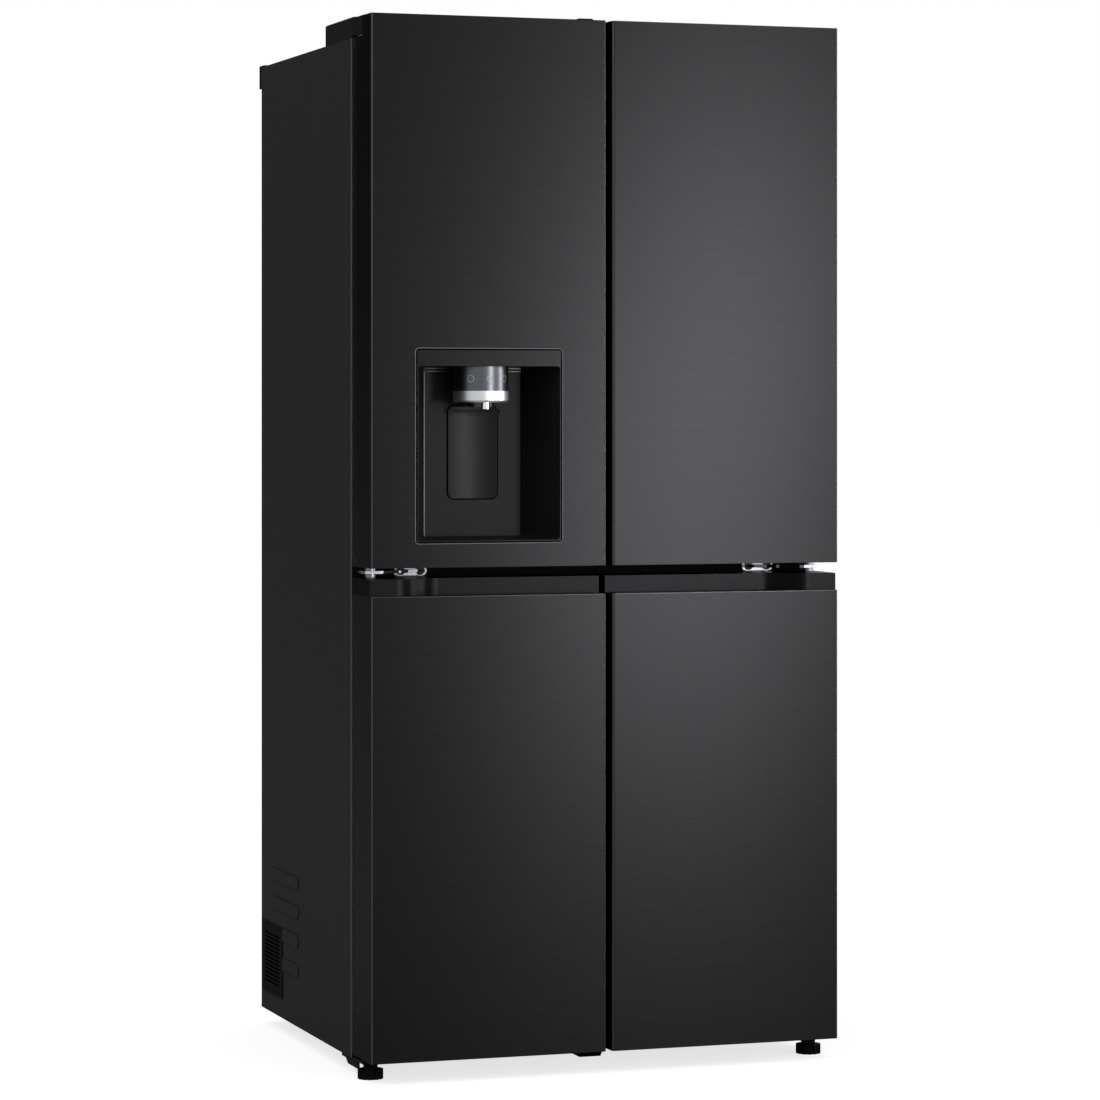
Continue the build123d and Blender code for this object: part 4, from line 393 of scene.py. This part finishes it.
def arm_with_painted_shade(colours, sizes):
    """Zinc-plated hinge with black painted shade on its arm, so that only plate and pin end shine in the gap.

    The painted shade, for the shadow of the gap, lies on the arm from the plate to the bare end round the
    pin, and on the driver's notches before the two screws.
    """
    material = plated_metal("plated_steel_painted_shade", colours.hinge_metal, roughness=0.3)
    place = add_node(material, "TexCoord", {}, "Object")
    at = add_node(material, "SeparateXYZ", {"Vector": place}).outputs
    reach = add_node(material, "Math", {0: at["X"]}, "Value", operation="ABSOLUTE")
    middle, half = (sizes.arm_start + sizes.arm_end) / 2, (sizes.arm_end - sizes.arm_start) / 2
    arm = add_node(material, "Math", {0: reach, 1: middle, 2: half}, "Value", operation="COMPARE")
    along = add_node(material, "Math", {0: reach, 1: sizes.plate_centre}, "Value", operation="SUBTRACT")
    away = add_node(material, "Math", {0: along}, "Value", operation="ABSOLUTE")
    notch = add_node(material, "Math", {
        0: away, 1: sizes.screw_pitch / 2, 2: sizes.screw_radius}, "Value", operation="COMPARE")
    either = add_node(material, "Math", {0: arm, 1: notch}, "Value", operation="MAXIMUM")
    # Painted shade: black over the arm and round the two screws, in front of the plate's face
    proud = add_node(
        material, "Math", {0: at["Y"], 1: sizes.plate_front - 0.2 * MM}, "Value", operation="LESS_THAN")
    painted_shade = add_node(material, "Math", {0: either, 1: proud}, "Value", operation="MULTIPLY")
    return lay_over(material, painted_shade, shaded(colours.black_plastic))


def zinc_sheet(colours):
    """Hot-dip galvanised steel: grey, with spangle crystals about 9 mm wide of differing shade and gloss."""
    material = new_material("galvanised_steel")
    place = add_node(material, "TexCoord", {}, "Object")
    spangle = add_node(material, "TexVoronoi", {"Vector": place, "Scale": 1 / (9 * MM)}, "Color")
    grey = add_node(material, "SeparateColor", {"Color": spangle}).outputs
    shades = {0: grey["Red"], 6: shaded(colours.zinc, 0.8), 7: shaded(colours.zinc)}
    tone = add_node(material, "Mix", shades, 2, data_type="RGBA")
    gloss = add_node(material, "MapRange", {"Value": grey["Green"], "To Min": 0.38, "To Max": 0.55}, "Result")
    shader = add_node(
        material, "BsdfPrincipled", {"Base Color": tone, "Metallic": 1.0, "Roughness": gloss}, "BSDF")
    add_node(material, "OutputMaterial", {"Surface": shader})
    return material


def shelf_glass():
    """Tempered float glass: clear, with the faint green of its iron."""
    material = new_material("tempered_glass")
    shader = add_node(material, "BsdfPrincipled", {
        "Base Color": shaded(linear("#e3f3ec")), "Roughness": 0.02, "IOR": 1.52,
        "Transmission Weight": 1.0}, "BSDF")
    add_node(material, "OutputMaterial", {"Surface": shader})
    return material


def clear_plastic(colours):
    """Moulded clear polystyrene: bright, slightly wavy walls that bend what is behind them."""
    material = new_material("clear_polystyrene")
    place = add_node(material, "TexCoord", {}, "Object")
    waves = add_node(material, "TexNoise", {"Vector": place, "Scale": 1 / (40 * MM)}, "Fac")
    bump = add_node(material, "Bump", {"Height": waves, "Strength": 0.1, "Distance": 1 * MM}, "Normal")
    shader = add_node(material, "BsdfPrincipled", {
        "Base Color": shaded(colours.clear_plastic), "Roughness": 0.08, "IOR": 1.5,
        "Transmission Weight": 0.85, "Normal": bump}, "BSDF")
    add_node(material, "OutputMaterial", {"Surface": shader})
    return material


def inner_door(colours):
    """Vacuum-formed polystyrene inner door: white inside, with the dark edge strip of the door's rim."""
    material = new_material("formed_polystyrene_door")
    place = add_node(material, "TexCoord", {}, "Object")
    depth = add_node(material, "SeparateXYZ", {"Vector": place}, "Y")
    rear = BOX["upper_left_gasket"][0].y - 0.1 * MM
    inside = add_node(material, "Math", {0: depth, 1: rear}, "Value", operation="GREATER_THAN")
    shades = {0: inside, 6: shaded(colours.black_plastic), 7: shaded(colours.white_plastic)}
    tone = add_node(material, "Mix", shades, 2, data_type="RGBA")
    peel = add_node(material, "TexNoise", {"Vector": place, "Scale": 1 / (5 * MM), "Detail": 2.0}, "Fac")
    bump = add_node(material, "Bump", {"Height": peel, "Strength": 0.08, "Distance": 0.3 * MM}, "Normal")
    shader = add_node(material, "BsdfPrincipled", {
        "Base Color": tone, "Roughness": 0.34, "Specular IOR Level": 0.01, "Normal": bump}, "BSDF")
    add_node(material, "OutputMaterial", {"Surface": shader})
    return material


def foam(colours):
    """Rigid polyurethane foam: matt and pale, with cells about 1 mm wide."""
    material = new_material("polyurethane_foam")
    place = add_node(material, "TexCoord", {}, "Object")
    cells = add_node(material, "TexVoronoi", {"Vector": place, "Scale": 1 / (1 * MM)}, "Distance")
    bump = add_node(material, "Bump", {"Height": cells, "Strength": 0.4, "Distance": 0.5 * MM}, "Normal")
    shader = add_node(material, "BsdfPrincipled", {
        "Base Color": shaded(colours.foam), "Roughness": 0.9, "Normal": bump}, "BSDF")
    add_node(material, "OutputMaterial", {"Surface": shader})
    return material


def cover(nodes, material):
    """Give CAD nodes one finish."""
    for name in nodes:
        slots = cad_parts[name].data.materials
        slots.clear()
        slots.append(material)


def solid_boxes(name):
    """Lowest and highest corners of each separate solid in a CAD node, read from a merged copy."""
    bm = bmesh.new()
    bm.from_mesh(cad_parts[name].data)
    bmesh.ops.remove_doubles(bm, verts=bm.verts, dist=MERGE)
    boxes, left = [], set(bm.verts)
    while left:
        found, edge = set(), [left.pop()]
        while edge:
            vert = edge.pop()
            found.add(vert)
            near = {other for link in vert.link_edges for other in link.verts} & left
            left -= near
            edge.extend(near)
        axes = list(zip(*(vert.co for vert in found)))
        boxes.append([Vector(pick(values) for values in axes) for pick in (min, max)])
    bm.free()
    return boxes


def finish_piece(name, bm, body, material):
    """Make a mesh object of a finished bmesh, and let it ride on a body."""
    bmesh.ops.remove_doubles(bm, verts=bm.verts, dist=MERGE)
    bmesh.ops.recalc_face_normals(bm, faces=bm.faces)
    if not bm.faces:
        raise RuntimeError(f"{name} has no faces")
    mesh = bpy.data.meshes.new(name)
    bm.to_mesh(mesh)
    bm.free()
    mesh.shade_smooth()
    mesh.set_sharp_from_angle(angle=SHARP)
    mesh.materials.append(material)
    piece = bpy.data.objects.new(name, mesh)
    bpy.context.scene.collection.objects.link(piece)
    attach(piece, body)
    return piece


def add_rounded_box(bm, low, high, radius):
    """Add a box with rounded edges between two corners."""
    low, high = Vector(low), Vector(high)
    place = Matrix.Translation((low + high) / 2) @ Matrix.Diagonal((*(high - low), 1.0))
    box = bmesh.ops.create_cube(bm, size=1.0, matrix=place)
    edges = list({edge for vert in box["verts"] for edge in vert.link_edges})
    bmesh.ops.bevel(bm, geom=edges, offset=radius, segments=3, profile=0.5, affect="EDGES", material=-1)


def keep_outline(bm, faces, width):
    """Leave only a band of some width along the outline of flat faces."""
    bmesh.ops.inset_region(bm, faces=faces, thickness=width, use_boundary=True, use_even_offset=True)
    bmesh.ops.delete(bm, geom=faces, context="FACES")


def add_turned(bm, profile, seat, facing):
    """Spin a profile of radius and height pairs round an axis that starts at its seat."""
    turn = facing.to_track_quat("Z", "Y")
    verts = [bm.verts.new(seat + turn @ Vector((radius, 0.0, height))) for radius, height in profile]
    edges = [bm.edges.new(pair) for pair in zip(verts, verts[1:])]
    bmesh.ops.spin(
        bm, geom=verts + edges, cent=seat, axis=facing, angle=math.tau, steps=ROUND, use_merge=True)


def add_screw(bm, seat, facing, radius, height):
    """Add a domed screw head with a six-lobed socket."""
    before = set(bm.verts)
    add_turned(bm, [(across * radius, up * height) for across, up in SCREW], seat, facing)
    turn = facing.to_track_quat("Z", "Y")
    socket = SOCKET * radius
    for vert in set(bm.verts) - before:
        local = turn.inverted() @ (vert.co - seat)
        reach = math.hypot(local.x, local.y)
        if 0.5 * socket < reach < 1.01 * socket:
            lobe = 1.0 + 0.16 * math.cos(6 * math.atan2(local.y, local.x))
            vert.co = seat + turn @ Vector((local.x * lobe, local.y * lobe, local.z))


class REFRIGERATOR_OT_door_finishes(bpy.types.Operator):
    """Finish the doors, their caps, grips and inner sides, and the centre flap"""

    bl_idname = "refrigerator.door_finishes"
    bl_label = "Door Finishes"

    def execute(self, context):
        colours, _ = settings(context)
        cover([f"{door}_skin" for door in DOORS], brushed_steel("brushed_black_steel", colours.door_steel))
        cover([f"{door}_inner" for door in DOORS], inner_door(colours))
        caps = moulded_plastic(
            "black_moulded_plastic", colours.black_plastic, roughness=0.5, grain=1 * MM, specular=0.05)
        cover(["upper_left_end_caps", "upper_right_end_caps", "centre_flap"], caps)
        grips = plated_metal("metallised_grip_plastic", colours.grip_plastic, roughness=0.3, edge=0.46)
        cover(["lower_left_grip", "lower_right_grip"], grips)
        return {"FINISHED"}


class REFRIGERATOR_OT_cabinet_finishes(bpy.types.Operator):
    """Finish the cabinet shell, hinges, feet and rollers"""

    bl_idname = "refrigerator.cabinet_finishes"
    bl_label = "Cabinet Finishes"

    def execute(self, context):
        colours, sizes = settings(context)
        cover(["side_panel_left", "side_panel_right", "top_panel", "front_frame"], cabinet_paint(colours))
        covers = moulded_plastic(
            "dark_moulded_cover", colours.cover_plastic, roughness=0.55, grain=1.2 * MM, specular=0.02)
        cover(["rear_top_cap", "hinge_covers", "top_centre_guide"], covers)
        fittings = moulded_plastic(
            "black_moulded_fitting", colours.black_plastic, roughness=0.55, grain=1.2 * MM, specular=0.01)
        cover(["bottom_centre_bracket", "side_grilles", "levelling_foot_left", "levelling_foot_right",
               "rear_roller_left", "rear_roller_right"], fittings)
        cover(["back_panel", "base_pan", "machine_cover"], zinc_sheet(colours))
        cover(["top_hinges"], plated_metal("zinc_plated_steel", colours.bright_metal, roughness=0.3))
        # Painted shade: the hinge arms are black where they sit in the shaded gap between the doors
        cover(["middle_hinges"], arm_with_painted_shade(colours, sizes))
        enamel = moulded_plastic(
            "black_enamelled_steel", colours.black_plastic, roughness=0.4, grain=2 * MM, specular=0.02)
        cover(["lower_hinges"], enamel)
        cover(["cabinet_foam"], foam(colours))
        return {"FINISHED"}


class REFRIGERATOR_OT_dispenser_finishes(bpy.types.Operator):
    """Finish the dispenser in the upper left door"""

    bl_idname = "refrigerator.dispenser_finishes"
    bl_label = "Dispenser Finishes"

    def execute(self, context):
        colours, sizes = settings(context)
        bezel = brushed_steel("brushed_bezel_steel", colours.bezel_steel)
        # Painted shadow: black along the bezel's outline, for the shade in the gap round it
        cover(["dispenser_bezel"], painted_gap_shadow(bezel, *BOX["dispenser_bezel"], width=2.2 * MM))
        housing = moulded_plastic(
            "recess_moulded_plastic", colours.recess_plastic, roughness=0.42, grain=1 * MM, specular=0.12,
            corner=1.2 * MM)
        low, high = BOX["dispenser_spout"]
        # Painted highlight: a line 2.2 times lighter than the lamp lens along the recess's back left corner
        painted_corner_highlight(
            housing, x=(low.x + high.x) / 2 - sizes.lamp_reach, y=sizes.lamp_front - 4 * MM, width=2.2 * MM,
            shade=shaded(colours.lens_smoke, 2.2))
        cover(["dispenser_housing"], housing)
        low, high = BOX["dispenser_paddle"]
        paddle = moulded_plastic(
            "paddle_moulded_plastic", colours.recess_plastic, roughness=0.36, grain=1 * MM, specular=0.14,
            dish=((low.x + high.x) / 2, low.y, (low.z + high.z) / 2))
        cover(["dispenser_paddle"], paddle)
        cover(["dispenser_spout"], plated_metal("dark_plated_sleeve", colours.spout_metal, roughness=0.33))
        cover(["spout_ring"], plated_metal("bright_plated_ring", colours.bright_metal, roughness=0.4))
        return {"FINISHED"}


class REFRIGERATOR_OT_interior_finishes(bpy.types.Operator):
    """Finish the compartments, shelves, drawers and bins"""

    bl_idname = "refrigerator.interior_finishes"
    bl_label = "Interior Finishes"

    def execute(self, context):
        colours, _ = settings(context)
        white = moulded_plastic(
            "white_formed_plastic", colours.white_plastic, roughness=0.34, grain=5 * MM, specular=0.5)
        cover(["fridge_liner", "freezer_liner", "freezer_divider", "air_duct", "evaporator_cover",
               "ice_room"], white)
        cover(["glass_shelves"], shelf_glass())
        clear = clear_plastic(colours)
        cover(["crisper_drawers", "freezer_drawers", "left_door_bins", "right_door_bins"], clear)
        return {"FINISHED"}


class REFRIGERATOR_OT_machine_finishes(bpy.types.Operator):
    """Finish the cooling parts behind the covers"""

    bl_idname = "refrigerator.machine_finishes"
    bl_label = "Machine Finishes"

    def execute(self, context):
        colours, _ = settings(context)
        fins = plated_metal("mill_aluminium", colours.bright_metal, roughness=0.4)
        cover(["evaporator", "condenser"], fins)
        enamel = moulded_plastic(
            "black_enamel", colours.black_plastic, roughness=0.3, grain=2 * MM, specular=0.5)
        cover(["compressor", "condenser_fan_motor", "condenser_fan", "evaporator_fan", "drain_pan"], enamel)
        return {"FINISHED"}


class REFRIGERATOR_OT_hinge_screws(bpy.types.Operator):
    """Screw the middle hinges to the frame of the cabinet"""

    bl_idname = "refrigerator.hinge_screws"
    bl_label = "Hinge Screws"

    def execute(self, context):
        colours, sizes = settings(context)
        dark = plated_metal("blackened_screw", colours.screw_metal, roughness=0.35)
        bright = plated_metal("plated_washer", colours.hinge_metal, roughness=0.25)
        out = Vector((0, -1, 0))
        wide, thick = sizes.washer_radius, sizes.washer_height
        hinges = sorted(solid_boxes("middle_hinges"), key=lambda box: box[0].x)
        for (name, side), (low, high) in zip(SIDES, hinges):
            heads, washers = bmesh.new(), bmesh.new()
            for shift in (-0.5, 0.5):
                x = side * sizes.plate_centre + shift * sizes.screw_pitch
                seat = Vector((x, sizes.plate_front, (low.z + high.z) / 2))
                add_turned(washers, ((0.0, 0.0), (wide, 0.0), (wide, thick), (0.0, thick)), seat, out)
                add_screw(heads, seat + thick * out, out, sizes.screw_radius, sizes.screw_height)
            finish_piece(f"hinge_screws_{name}", heads, "cabinet", dark)
            finish_piece(f"hinge_washers_{name}", washers, "cabinet", bright)
        return {"FINISHED"}


class REFRIGERATOR_OT_panel_screws(bpy.types.Operator):
    """Screw down the back panel and the machine cover"""

    bl_idname = "refrigerator.panel_screws"
    bl_label = "Panel Screws"

    def execute(self, context):
        colours, sizes = settings(context)
        edge = sizes.screw_edge
        rows = {"back_panel": 6, "machine_cover": 2}
        bm = bmesh.new()
        for name, count in rows.items():
            low, high = BOX[name]
            for row in range(count):
                level = low.z + edge + row * (high.z - low.z - 2 * edge) / (count - 1)
                for x in (low.x + edge, high.x - edge):
                    seat = Vector((x, sizes.back_face, level))
                    add_screw(bm, seat, Vector((0, 1, 0)), sizes.small_screw_radius, sizes.small_screw_height)
        plated = plated_metal("plated_sheet_screw", colours.bright_metal, roughness=0.3)
        finish_piece("back_screws", bm, "cabinet", plated)
        return {"FINISHED"}


class REFRIGERATOR_OT_window_edge(bpy.types.Operator):
    """Roll the edge of the door skin round the dispenser"""

    bl_idname = "refrigerator.window_edge"
    bl_label = "Window Edge"

    def execute(self, context):
        colours, sizes = settings(context)
        low, high = BOX["dispenser_bezel"]
        size = high - low + Vector((1, 1, 1)) * 2 * sizes.window_gap
        middle = (low + high) / 2
        middle.y = BOX["upper_left_skin"][0].y
        flat = Matrix.Translation(middle) @ UPRIGHT @ Matrix.Diagonal((size.x, size.z, 1.0, 1.0))
        bm = bmesh.new()
        bmesh.ops.create_grid(bm, x_segments=1, y_segments=1, size=0.5, matrix=flat)
        bmesh.ops.bevel(bm, geom=bm.verts[:], offset=sizes.window_corner, segments=6, profile=0.5,
                        affect="VERTICES", material=-1)
        keep_outline(bm, bm.faces[:], sizes.window_edge)
        rim = bmesh.ops.extrude_face_region(bm, geom=bm.faces[:])
        back = [item for item in rim["geom"] if isinstance(item, bmesh.types.BMVert)]
        bmesh.ops.translate(bm, verts=back, vec=(0.0, sizes.window_depth, 0.0))
        # Painted highlight: the rolled edge of the dark door skin gets a lighter metal, for the light it
        # catches
        rolled = plated_metal("rolled_steel_edge", colours.edge_highlight_metal, roughness=0.5, corner=0.05 * MM)
        finish_piece("dispenser_window_edge", bm, "upper_left_door", rolled)
        return {"FINISHED"}


class REFRIGERATOR_OT_spout_fittings(bpy.types.Operator):
    """Print plain marks on the spout and hang its water tube"""

    bl_idname = "refrigerator.spout_fittings"
    bl_label = "Spout Fittings"

    def execute(self, context):
        colours, sizes = settings(context)
        low, high = BOX["dispenser_spout"]
        ring_low, ring_high = BOX["spout_ring"]
        axis = (ring_low + ring_high) / 2
        level = (ring_high.z + high.z) / 2
        bm = bmesh.new()
        for place, grow in ((-1, 1.0), (0, 0.8), (1, 1.0)):
            flat = Matrix.Translation((place * sizes.mark_pitch, 0.0, level)) @ UPRIGHT
            mark = bmesh.ops.create_circle(
                bm, cap_ends=True, segments=ROUND, radius=grow * sizes.mark_size / 2, matrix=flat)
            keep_outline(bm, mark["verts"][0].link_faces[:], sizes.mark_line)
        # The flat marks are wrapped round the spout, just clear of it
        radius = (high.x - low.x) / 2 + 0.1 * MM
        for vert in bm.verts:
            turn = vert.co.x / radius
            vert.co.x, vert.co.y = axis.x + radius * math.sin(turn), axis.y - radius * math.cos(turn)
        ink = moulded_plastic("printed_ink", colours.mark_ink, roughness=0.5, grain=1 * MM, specular=0.3)
        finish_piece("spout_marks", bm, "upper_left_door", ink)
        bm = bmesh.new()
        seat = Vector((axis.x - sizes.tube_left, axis.y - sizes.tube_front, ring_low.z))
        wide, down = sizes.tube_radius, sizes.tube_length
        bore = 0.7 * wide
        profile = ((bore, 0.0), (bore, down), (wide, down), (wide, 0.0), (bore, 0.0))
        add_turned(bm, profile, seat, Vector((0, 0, -1)))
        polished = plated_metal("polished_tube", colours.bright_metal, roughness=0.12)
        finish_piece("water_tube", bm, "upper_left_door", polished)
        return {"FINISHED"}


class REFRIGERATOR_OT_dispenser_lamps(bpy.types.Operator):
    """Put lamp strips on the ribs at the top of the dispenser's back wall"""

    bl_idname = "refrigerator.dispenser_lamps"
    bl_label = "Dispenser Lamps"

    def execute(self, context):
        colours, sizes = settings(context)
        low, high = BOX["dispenser_spout"]
        middle = (low.x + high.x) / 2
        front, back = sizes.lamp_front - 0.4 * MM, sizes.lamp_front + 1 * MM
        bm = bmesh.new()
        for _, side in SIDES:
            ends = sorted(middle + side * (sizes.lamp_reach - along) for along in (0.0, sizes.lamp_length))
            for row in range(2):
                level = high.z - sizes.lamp_drop + row * sizes.lamp_pitch
                top = level + sizes.lamp_height
                add_rounded_box(bm, (ends[0], front, level), (ends[1], back, top), radius=0.3 * MM)
        smoked = moulded_plastic("smoked_lens", colours.lens_smoke, roughness=0.3, grain=1 * MM, specular=0.5)
        finish_piece("dispenser_lamps", bm, "upper_left_door", smoked)
        return {"FINISHED"}


class REFRIGERATOR_OT_shelf_trims(bpy.types.Operator):
    """Edge the glass shelves with moulded trims"""

    bl_idname = "refrigerator.shelf_trims"
    bl_label = "Shelf Trims"

    def execute(self, context):
        colours, sizes = settings(context)
        trim = moulded_plastic(
            "satin_shelf_trim", colours.white_plastic, roughness=0.3, grain=2 * MM, specular=0.5)
        half = Vector((0.0, sizes.trim_depth / 2, sizes.trim_height / 2))
        bm = bmesh.new()
        for low, high in solid_boxes("glass_shelves"):
            middle = (low.z + high.z) / 2
            for y in (low.y, high.y):
                left, right = (Vector((x, y, middle)) for x in (low.x, high.x))
                add_rounded_box(bm, left - half, right + half, radius=3 * MM)
        finish_piece("shelf_trims", bm, "cabinet", trim)
        return {"FINISHED"}


class REFRIGERATOR_OT_drawer_trims(bpy.types.Operator):
    """Put satin strips on the pulls of the drawers"""

    bl_idname = "refrigerator.drawer_trims"
    bl_label = "Drawer Trims"

    def execute(self, context):
        colours, sizes = settings(context)
        strip = moulded_plastic(
            "satin_drawer_strip", colours.white_plastic, roughness=0.3, grain=2 * MM, specular=0.5)
        # How far a strip stands before a drawer's front, above it and behind its face
        before, above, behind = 1.2 * MM, 0.6 * MM, 3 * MM
        for node in ("crisper_drawers", "freezer_drawers"):
            bm = bmesh.new()
            for low, high in solid_boxes(node):
                near = (low.x + sizes.strip_inset, low.y - before, high.z - sizes.drawer_trim)
                far = (high.x - sizes.strip_inset, low.y + behind, high.z + above)
                add_rounded_box(bm, near, far, radius=1.4 * MM)
            finish_piece(node.replace("drawers", "strips"), bm, "cabinet", strip)
        return {"FINISHED"}


class REFRIGERATOR_OT_lamp_lenses(bpy.types.Operator):
    """Set a lamp lens in the ceiling of the upper compartment"""

    bl_idname = "refrigerator.lamp_lenses"
    bl_label = "Lamp Lenses"

    def execute(self, context):
        colours, sizes = settings(context)
        frosted = moulded_plastic(
            "frosted_lens", colours.clear_plastic, roughness=0.45, grain=1 * MM, specular=0.5)
        ceiling = BOX["fridge_liner"][1].z - sizes.liner_wall
        front = BOX["glass_shelves"][0].y
        half = sizes.lens_length / 2
        near = (-half, front, ceiling - sizes.lens_drop)
        far = (half, front + sizes.lens_width, ceiling + 0.2 * MM)
        bm = bmesh.new()
        add_rounded_box(bm, near, far, radius=3 * MM)
        finish_piece("lamp_lens", bm, "cabinet", frosted)
        return {"FINISHED"}


class REFRIGERATOR_OT_door_seals(bpy.types.Operator):
    """Fit a bellows seal round the back of each door"""

    bl_idname = "refrigerator.door_seals"
    bl_label = "Door Seals"

    def execute(self, context):
        colours, sizes = settings(context)
        vinyl = moulded_plastic(
            "soft_vinyl_seal", colours.seal, roughness=0.62, grain=1.5 * MM, specular=0.03)
        for door in DOORS:
            node = f"{door}_gasket"
            low, high = BOX[node]
            middle, half = (low + high) / 2, (high - low) / 2
            bm = bmesh.new()
            bmesh.ops.create_grid(
                bm, x_segments=1, y_segments=1, size=1.0, matrix=Matrix.Translation(middle) @ UPRIGHT)
            bmesh.ops.delete(bm, geom=bm.faces[:], context="FACES_ONLY")
            ring = bm.verts[:] + bm.edges[:]
            for step, (across, deep) in enumerate(SECTION):
                if step:
                    ring = bmesh.ops.extrude_edge_only(bm, edges=edges)["geom"]
                edges = [item for item in ring if isinstance(item, bmesh.types.BMEdge)]
                inset = across * sizes.seal_width
                for vert in (item for item in ring if isinstance(item, bmesh.types.BMVert)):
                    right = math.copysign(half.x - inset, vert.co.x - middle.x)
                    up = math.copysign(half.z - inset, vert.co.z - middle.z)
                    vert.co = (middle.x + right, low.y + deep * (high.y - low.y), middle.z + up)
            seal = finish_piece(f"{door}_seal", bm, f"{door}_door", vinyl)
            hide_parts(node)
        return {"FINISHED"}


class REFRIGERATOR_OT_stage(bpy.types.Operator):
    """Set the floor, the lights and the camera"""

    bl_idname = "refrigerator.stage"
    bl_label = "Stage"

    def execute(self, context):
        stage = context.scene.refrigerator_stage
        bm = bmesh.new()
        bmesh.ops.create_circle(bm, cap_ends=True, segments=64, radius=30.0)
        mesh = bpy.data.meshes.new("floor")
        bm.to_mesh(mesh)
        bm.free()
        floor = bpy.data.objects.new("floor", mesh)
        context.scene.collection.objects.link(floor)
        # The floor is white in the picture and a darker grey in what it throws on the object
        material = new_material("studio_floor")
        seen = add_node(material, "LightPath", {}, "Is Camera Ray")
        glow = add_node(material, "Math", {0: seen, 1: stage.floor_glow}, "Value", operation="MULTIPLY")
        shader = add_node(material, "BsdfPrincipled", {
            "Base Color": shaded(stage.floor), "Roughness": 0.9, "Specular IOR Level": 0.0,
            "Emission Color": WHITE, "Emission Strength": glow}, "BSDF")
        add_node(material, "OutputMaterial", {"Surface": shader})
        mesh.materials.append(material)

        world = bpy.data.worlds.new("studio")
        world.use_nodes = True
        world.node_tree.nodes.clear()
        # A black cloth keeps the left side dark, as in a studio; the picture's ground stays white
        direction = add_node(world, "TexCoord", {}, "Generated")
        towards = add_node(world, "VectorMath", {0: direction, 1: CLOTH}, "Value", operation="DOT_PRODUCT")
        fade = {"Value": towards, "From Min": 0.4, "From Max": 0.85, "To Min": 1.0, "To Max": stage.dark_side}
        shade = add_node(world, "MapRange", fade, "Result", interpolation_type="SMOOTHSTEP")
        seen = add_node(world, "LightPath", {}, "Is Camera Ray")
        strength = add_node(world, "Math", {0: shade, 1: seen}, "Value", operation="MAXIMUM")
        sky = add_node(world, "Background", {"Color": WHITE, "Strength": strength}, "Background")
        add_node(world, "OutputWorld", {"Surface": sky})
        context.scene.world = world

        middle = (CAD_LOW + CAD_HIGH) / 2
        for name, place, width, height, lean, power in (
            ("front_panel", Vector((1.99, -5.04, 1.12)), 0.7, 1.6, stage.panel_lean, stage.panel_power),
            ("right_panel", Vector((4.5, -1.7, 1.2)), 0.7, 1.8, 0.0, stage.side_power),
            ("top_panel_light", Vector((-2.2, -0.4, 4.3)), 4.0, 4.0, 0.0, stage.fill_power),
        ):
            light = bpy.data.lights.new(name, "AREA")
            light.shape = "RECTANGLE"
            light.size, light.size_y, light.energy = width, height, power
            lamp = bpy.data.objects.new(name, light)
            lamp.location = place
            aim = (middle - place).to_track_quat("-Z", "Y")
            lamp.rotation_euler = (aim @ Quaternion((0.0, 0.0, -1.0), lean)).to_euler()
            context.scene.collection.objects.link(lamp)

        lens = bpy.data.cameras.new("camera")
        lens.sensor_width = 36.0
        lens.lens = stage.lens
        lens.shift_y = stage.shift
        lens.clip_end = 100.0
        camera = bpy.data.objects.new("camera", lens)
        camera.location = stage.camera_place
        camera.rotation_euler = (math.radians(90), 0.0, -stage.yaw)
        context.scene.collection.objects.link(camera)
        context.scene.camera = camera
        context.scene.view_settings.view_transform = "Standard"
        return {"FINISHED"}


OPERATORS = (
    REFRIGERATOR_OT_door_finishes,
    REFRIGERATOR_OT_cabinet_finishes,
    REFRIGERATOR_OT_dispenser_finishes,
    REFRIGERATOR_OT_interior_finishes,
    REFRIGERATOR_OT_machine_finishes,
    REFRIGERATOR_OT_hinge_screws,
    REFRIGERATOR_OT_panel_screws,
    REFRIGERATOR_OT_window_edge,
    REFRIGERATOR_OT_spout_fittings,
    REFRIGERATOR_OT_dispenser_lamps,
    REFRIGERATOR_OT_shelf_trims,
    REFRIGERATOR_OT_drawer_trims,
    REFRIGERATOR_OT_lamp_lenses,
    REFRIGERATOR_OT_door_seals,
    REFRIGERATOR_OT_stage,
)


class VIEW3D_PT_refrigerator(bpy.types.Panel):
    """Lists the pieces and the stage"""

    bl_label = "Refrigerator"
    bl_space_type = "VIEW_3D"
    bl_region_type = "UI"
    bl_category = "Refrigerator"

    def draw(self, context):
        for operator in OPERATORS:
            self.layout.operator(operator.bl_idname)


CLASSES = (RefrigeratorColours, RefrigeratorSizes, RefrigeratorStage, *OPERATORS, VIEW3D_PT_refrigerator)
SETTINGS = {
    "refrigerator_colours": RefrigeratorColours,
    "refrigerator_sizes": RefrigeratorSizes,
    "refrigerator_stage": RefrigeratorStage,
}


def register():
    for item in CLASSES:
        bpy.utils.register_class(item)
    for name, group in SETTINGS.items():
        setattr(bpy.types.Scene, name, PointerProperty(type=group))


def unregister():
    for name in SETTINGS:
        delattr(bpy.types.Scene, name)
    for item in reversed(CLASSES):
        bpy.utils.unregister_class(item)


def main():
    """Build everything."""
    register()
    for operator in OPERATORS:
        group, name = operator.bl_idname.split(".")
        getattr(getattr(bpy.ops, group), name)()


if __name__ == "__main__":
    main()
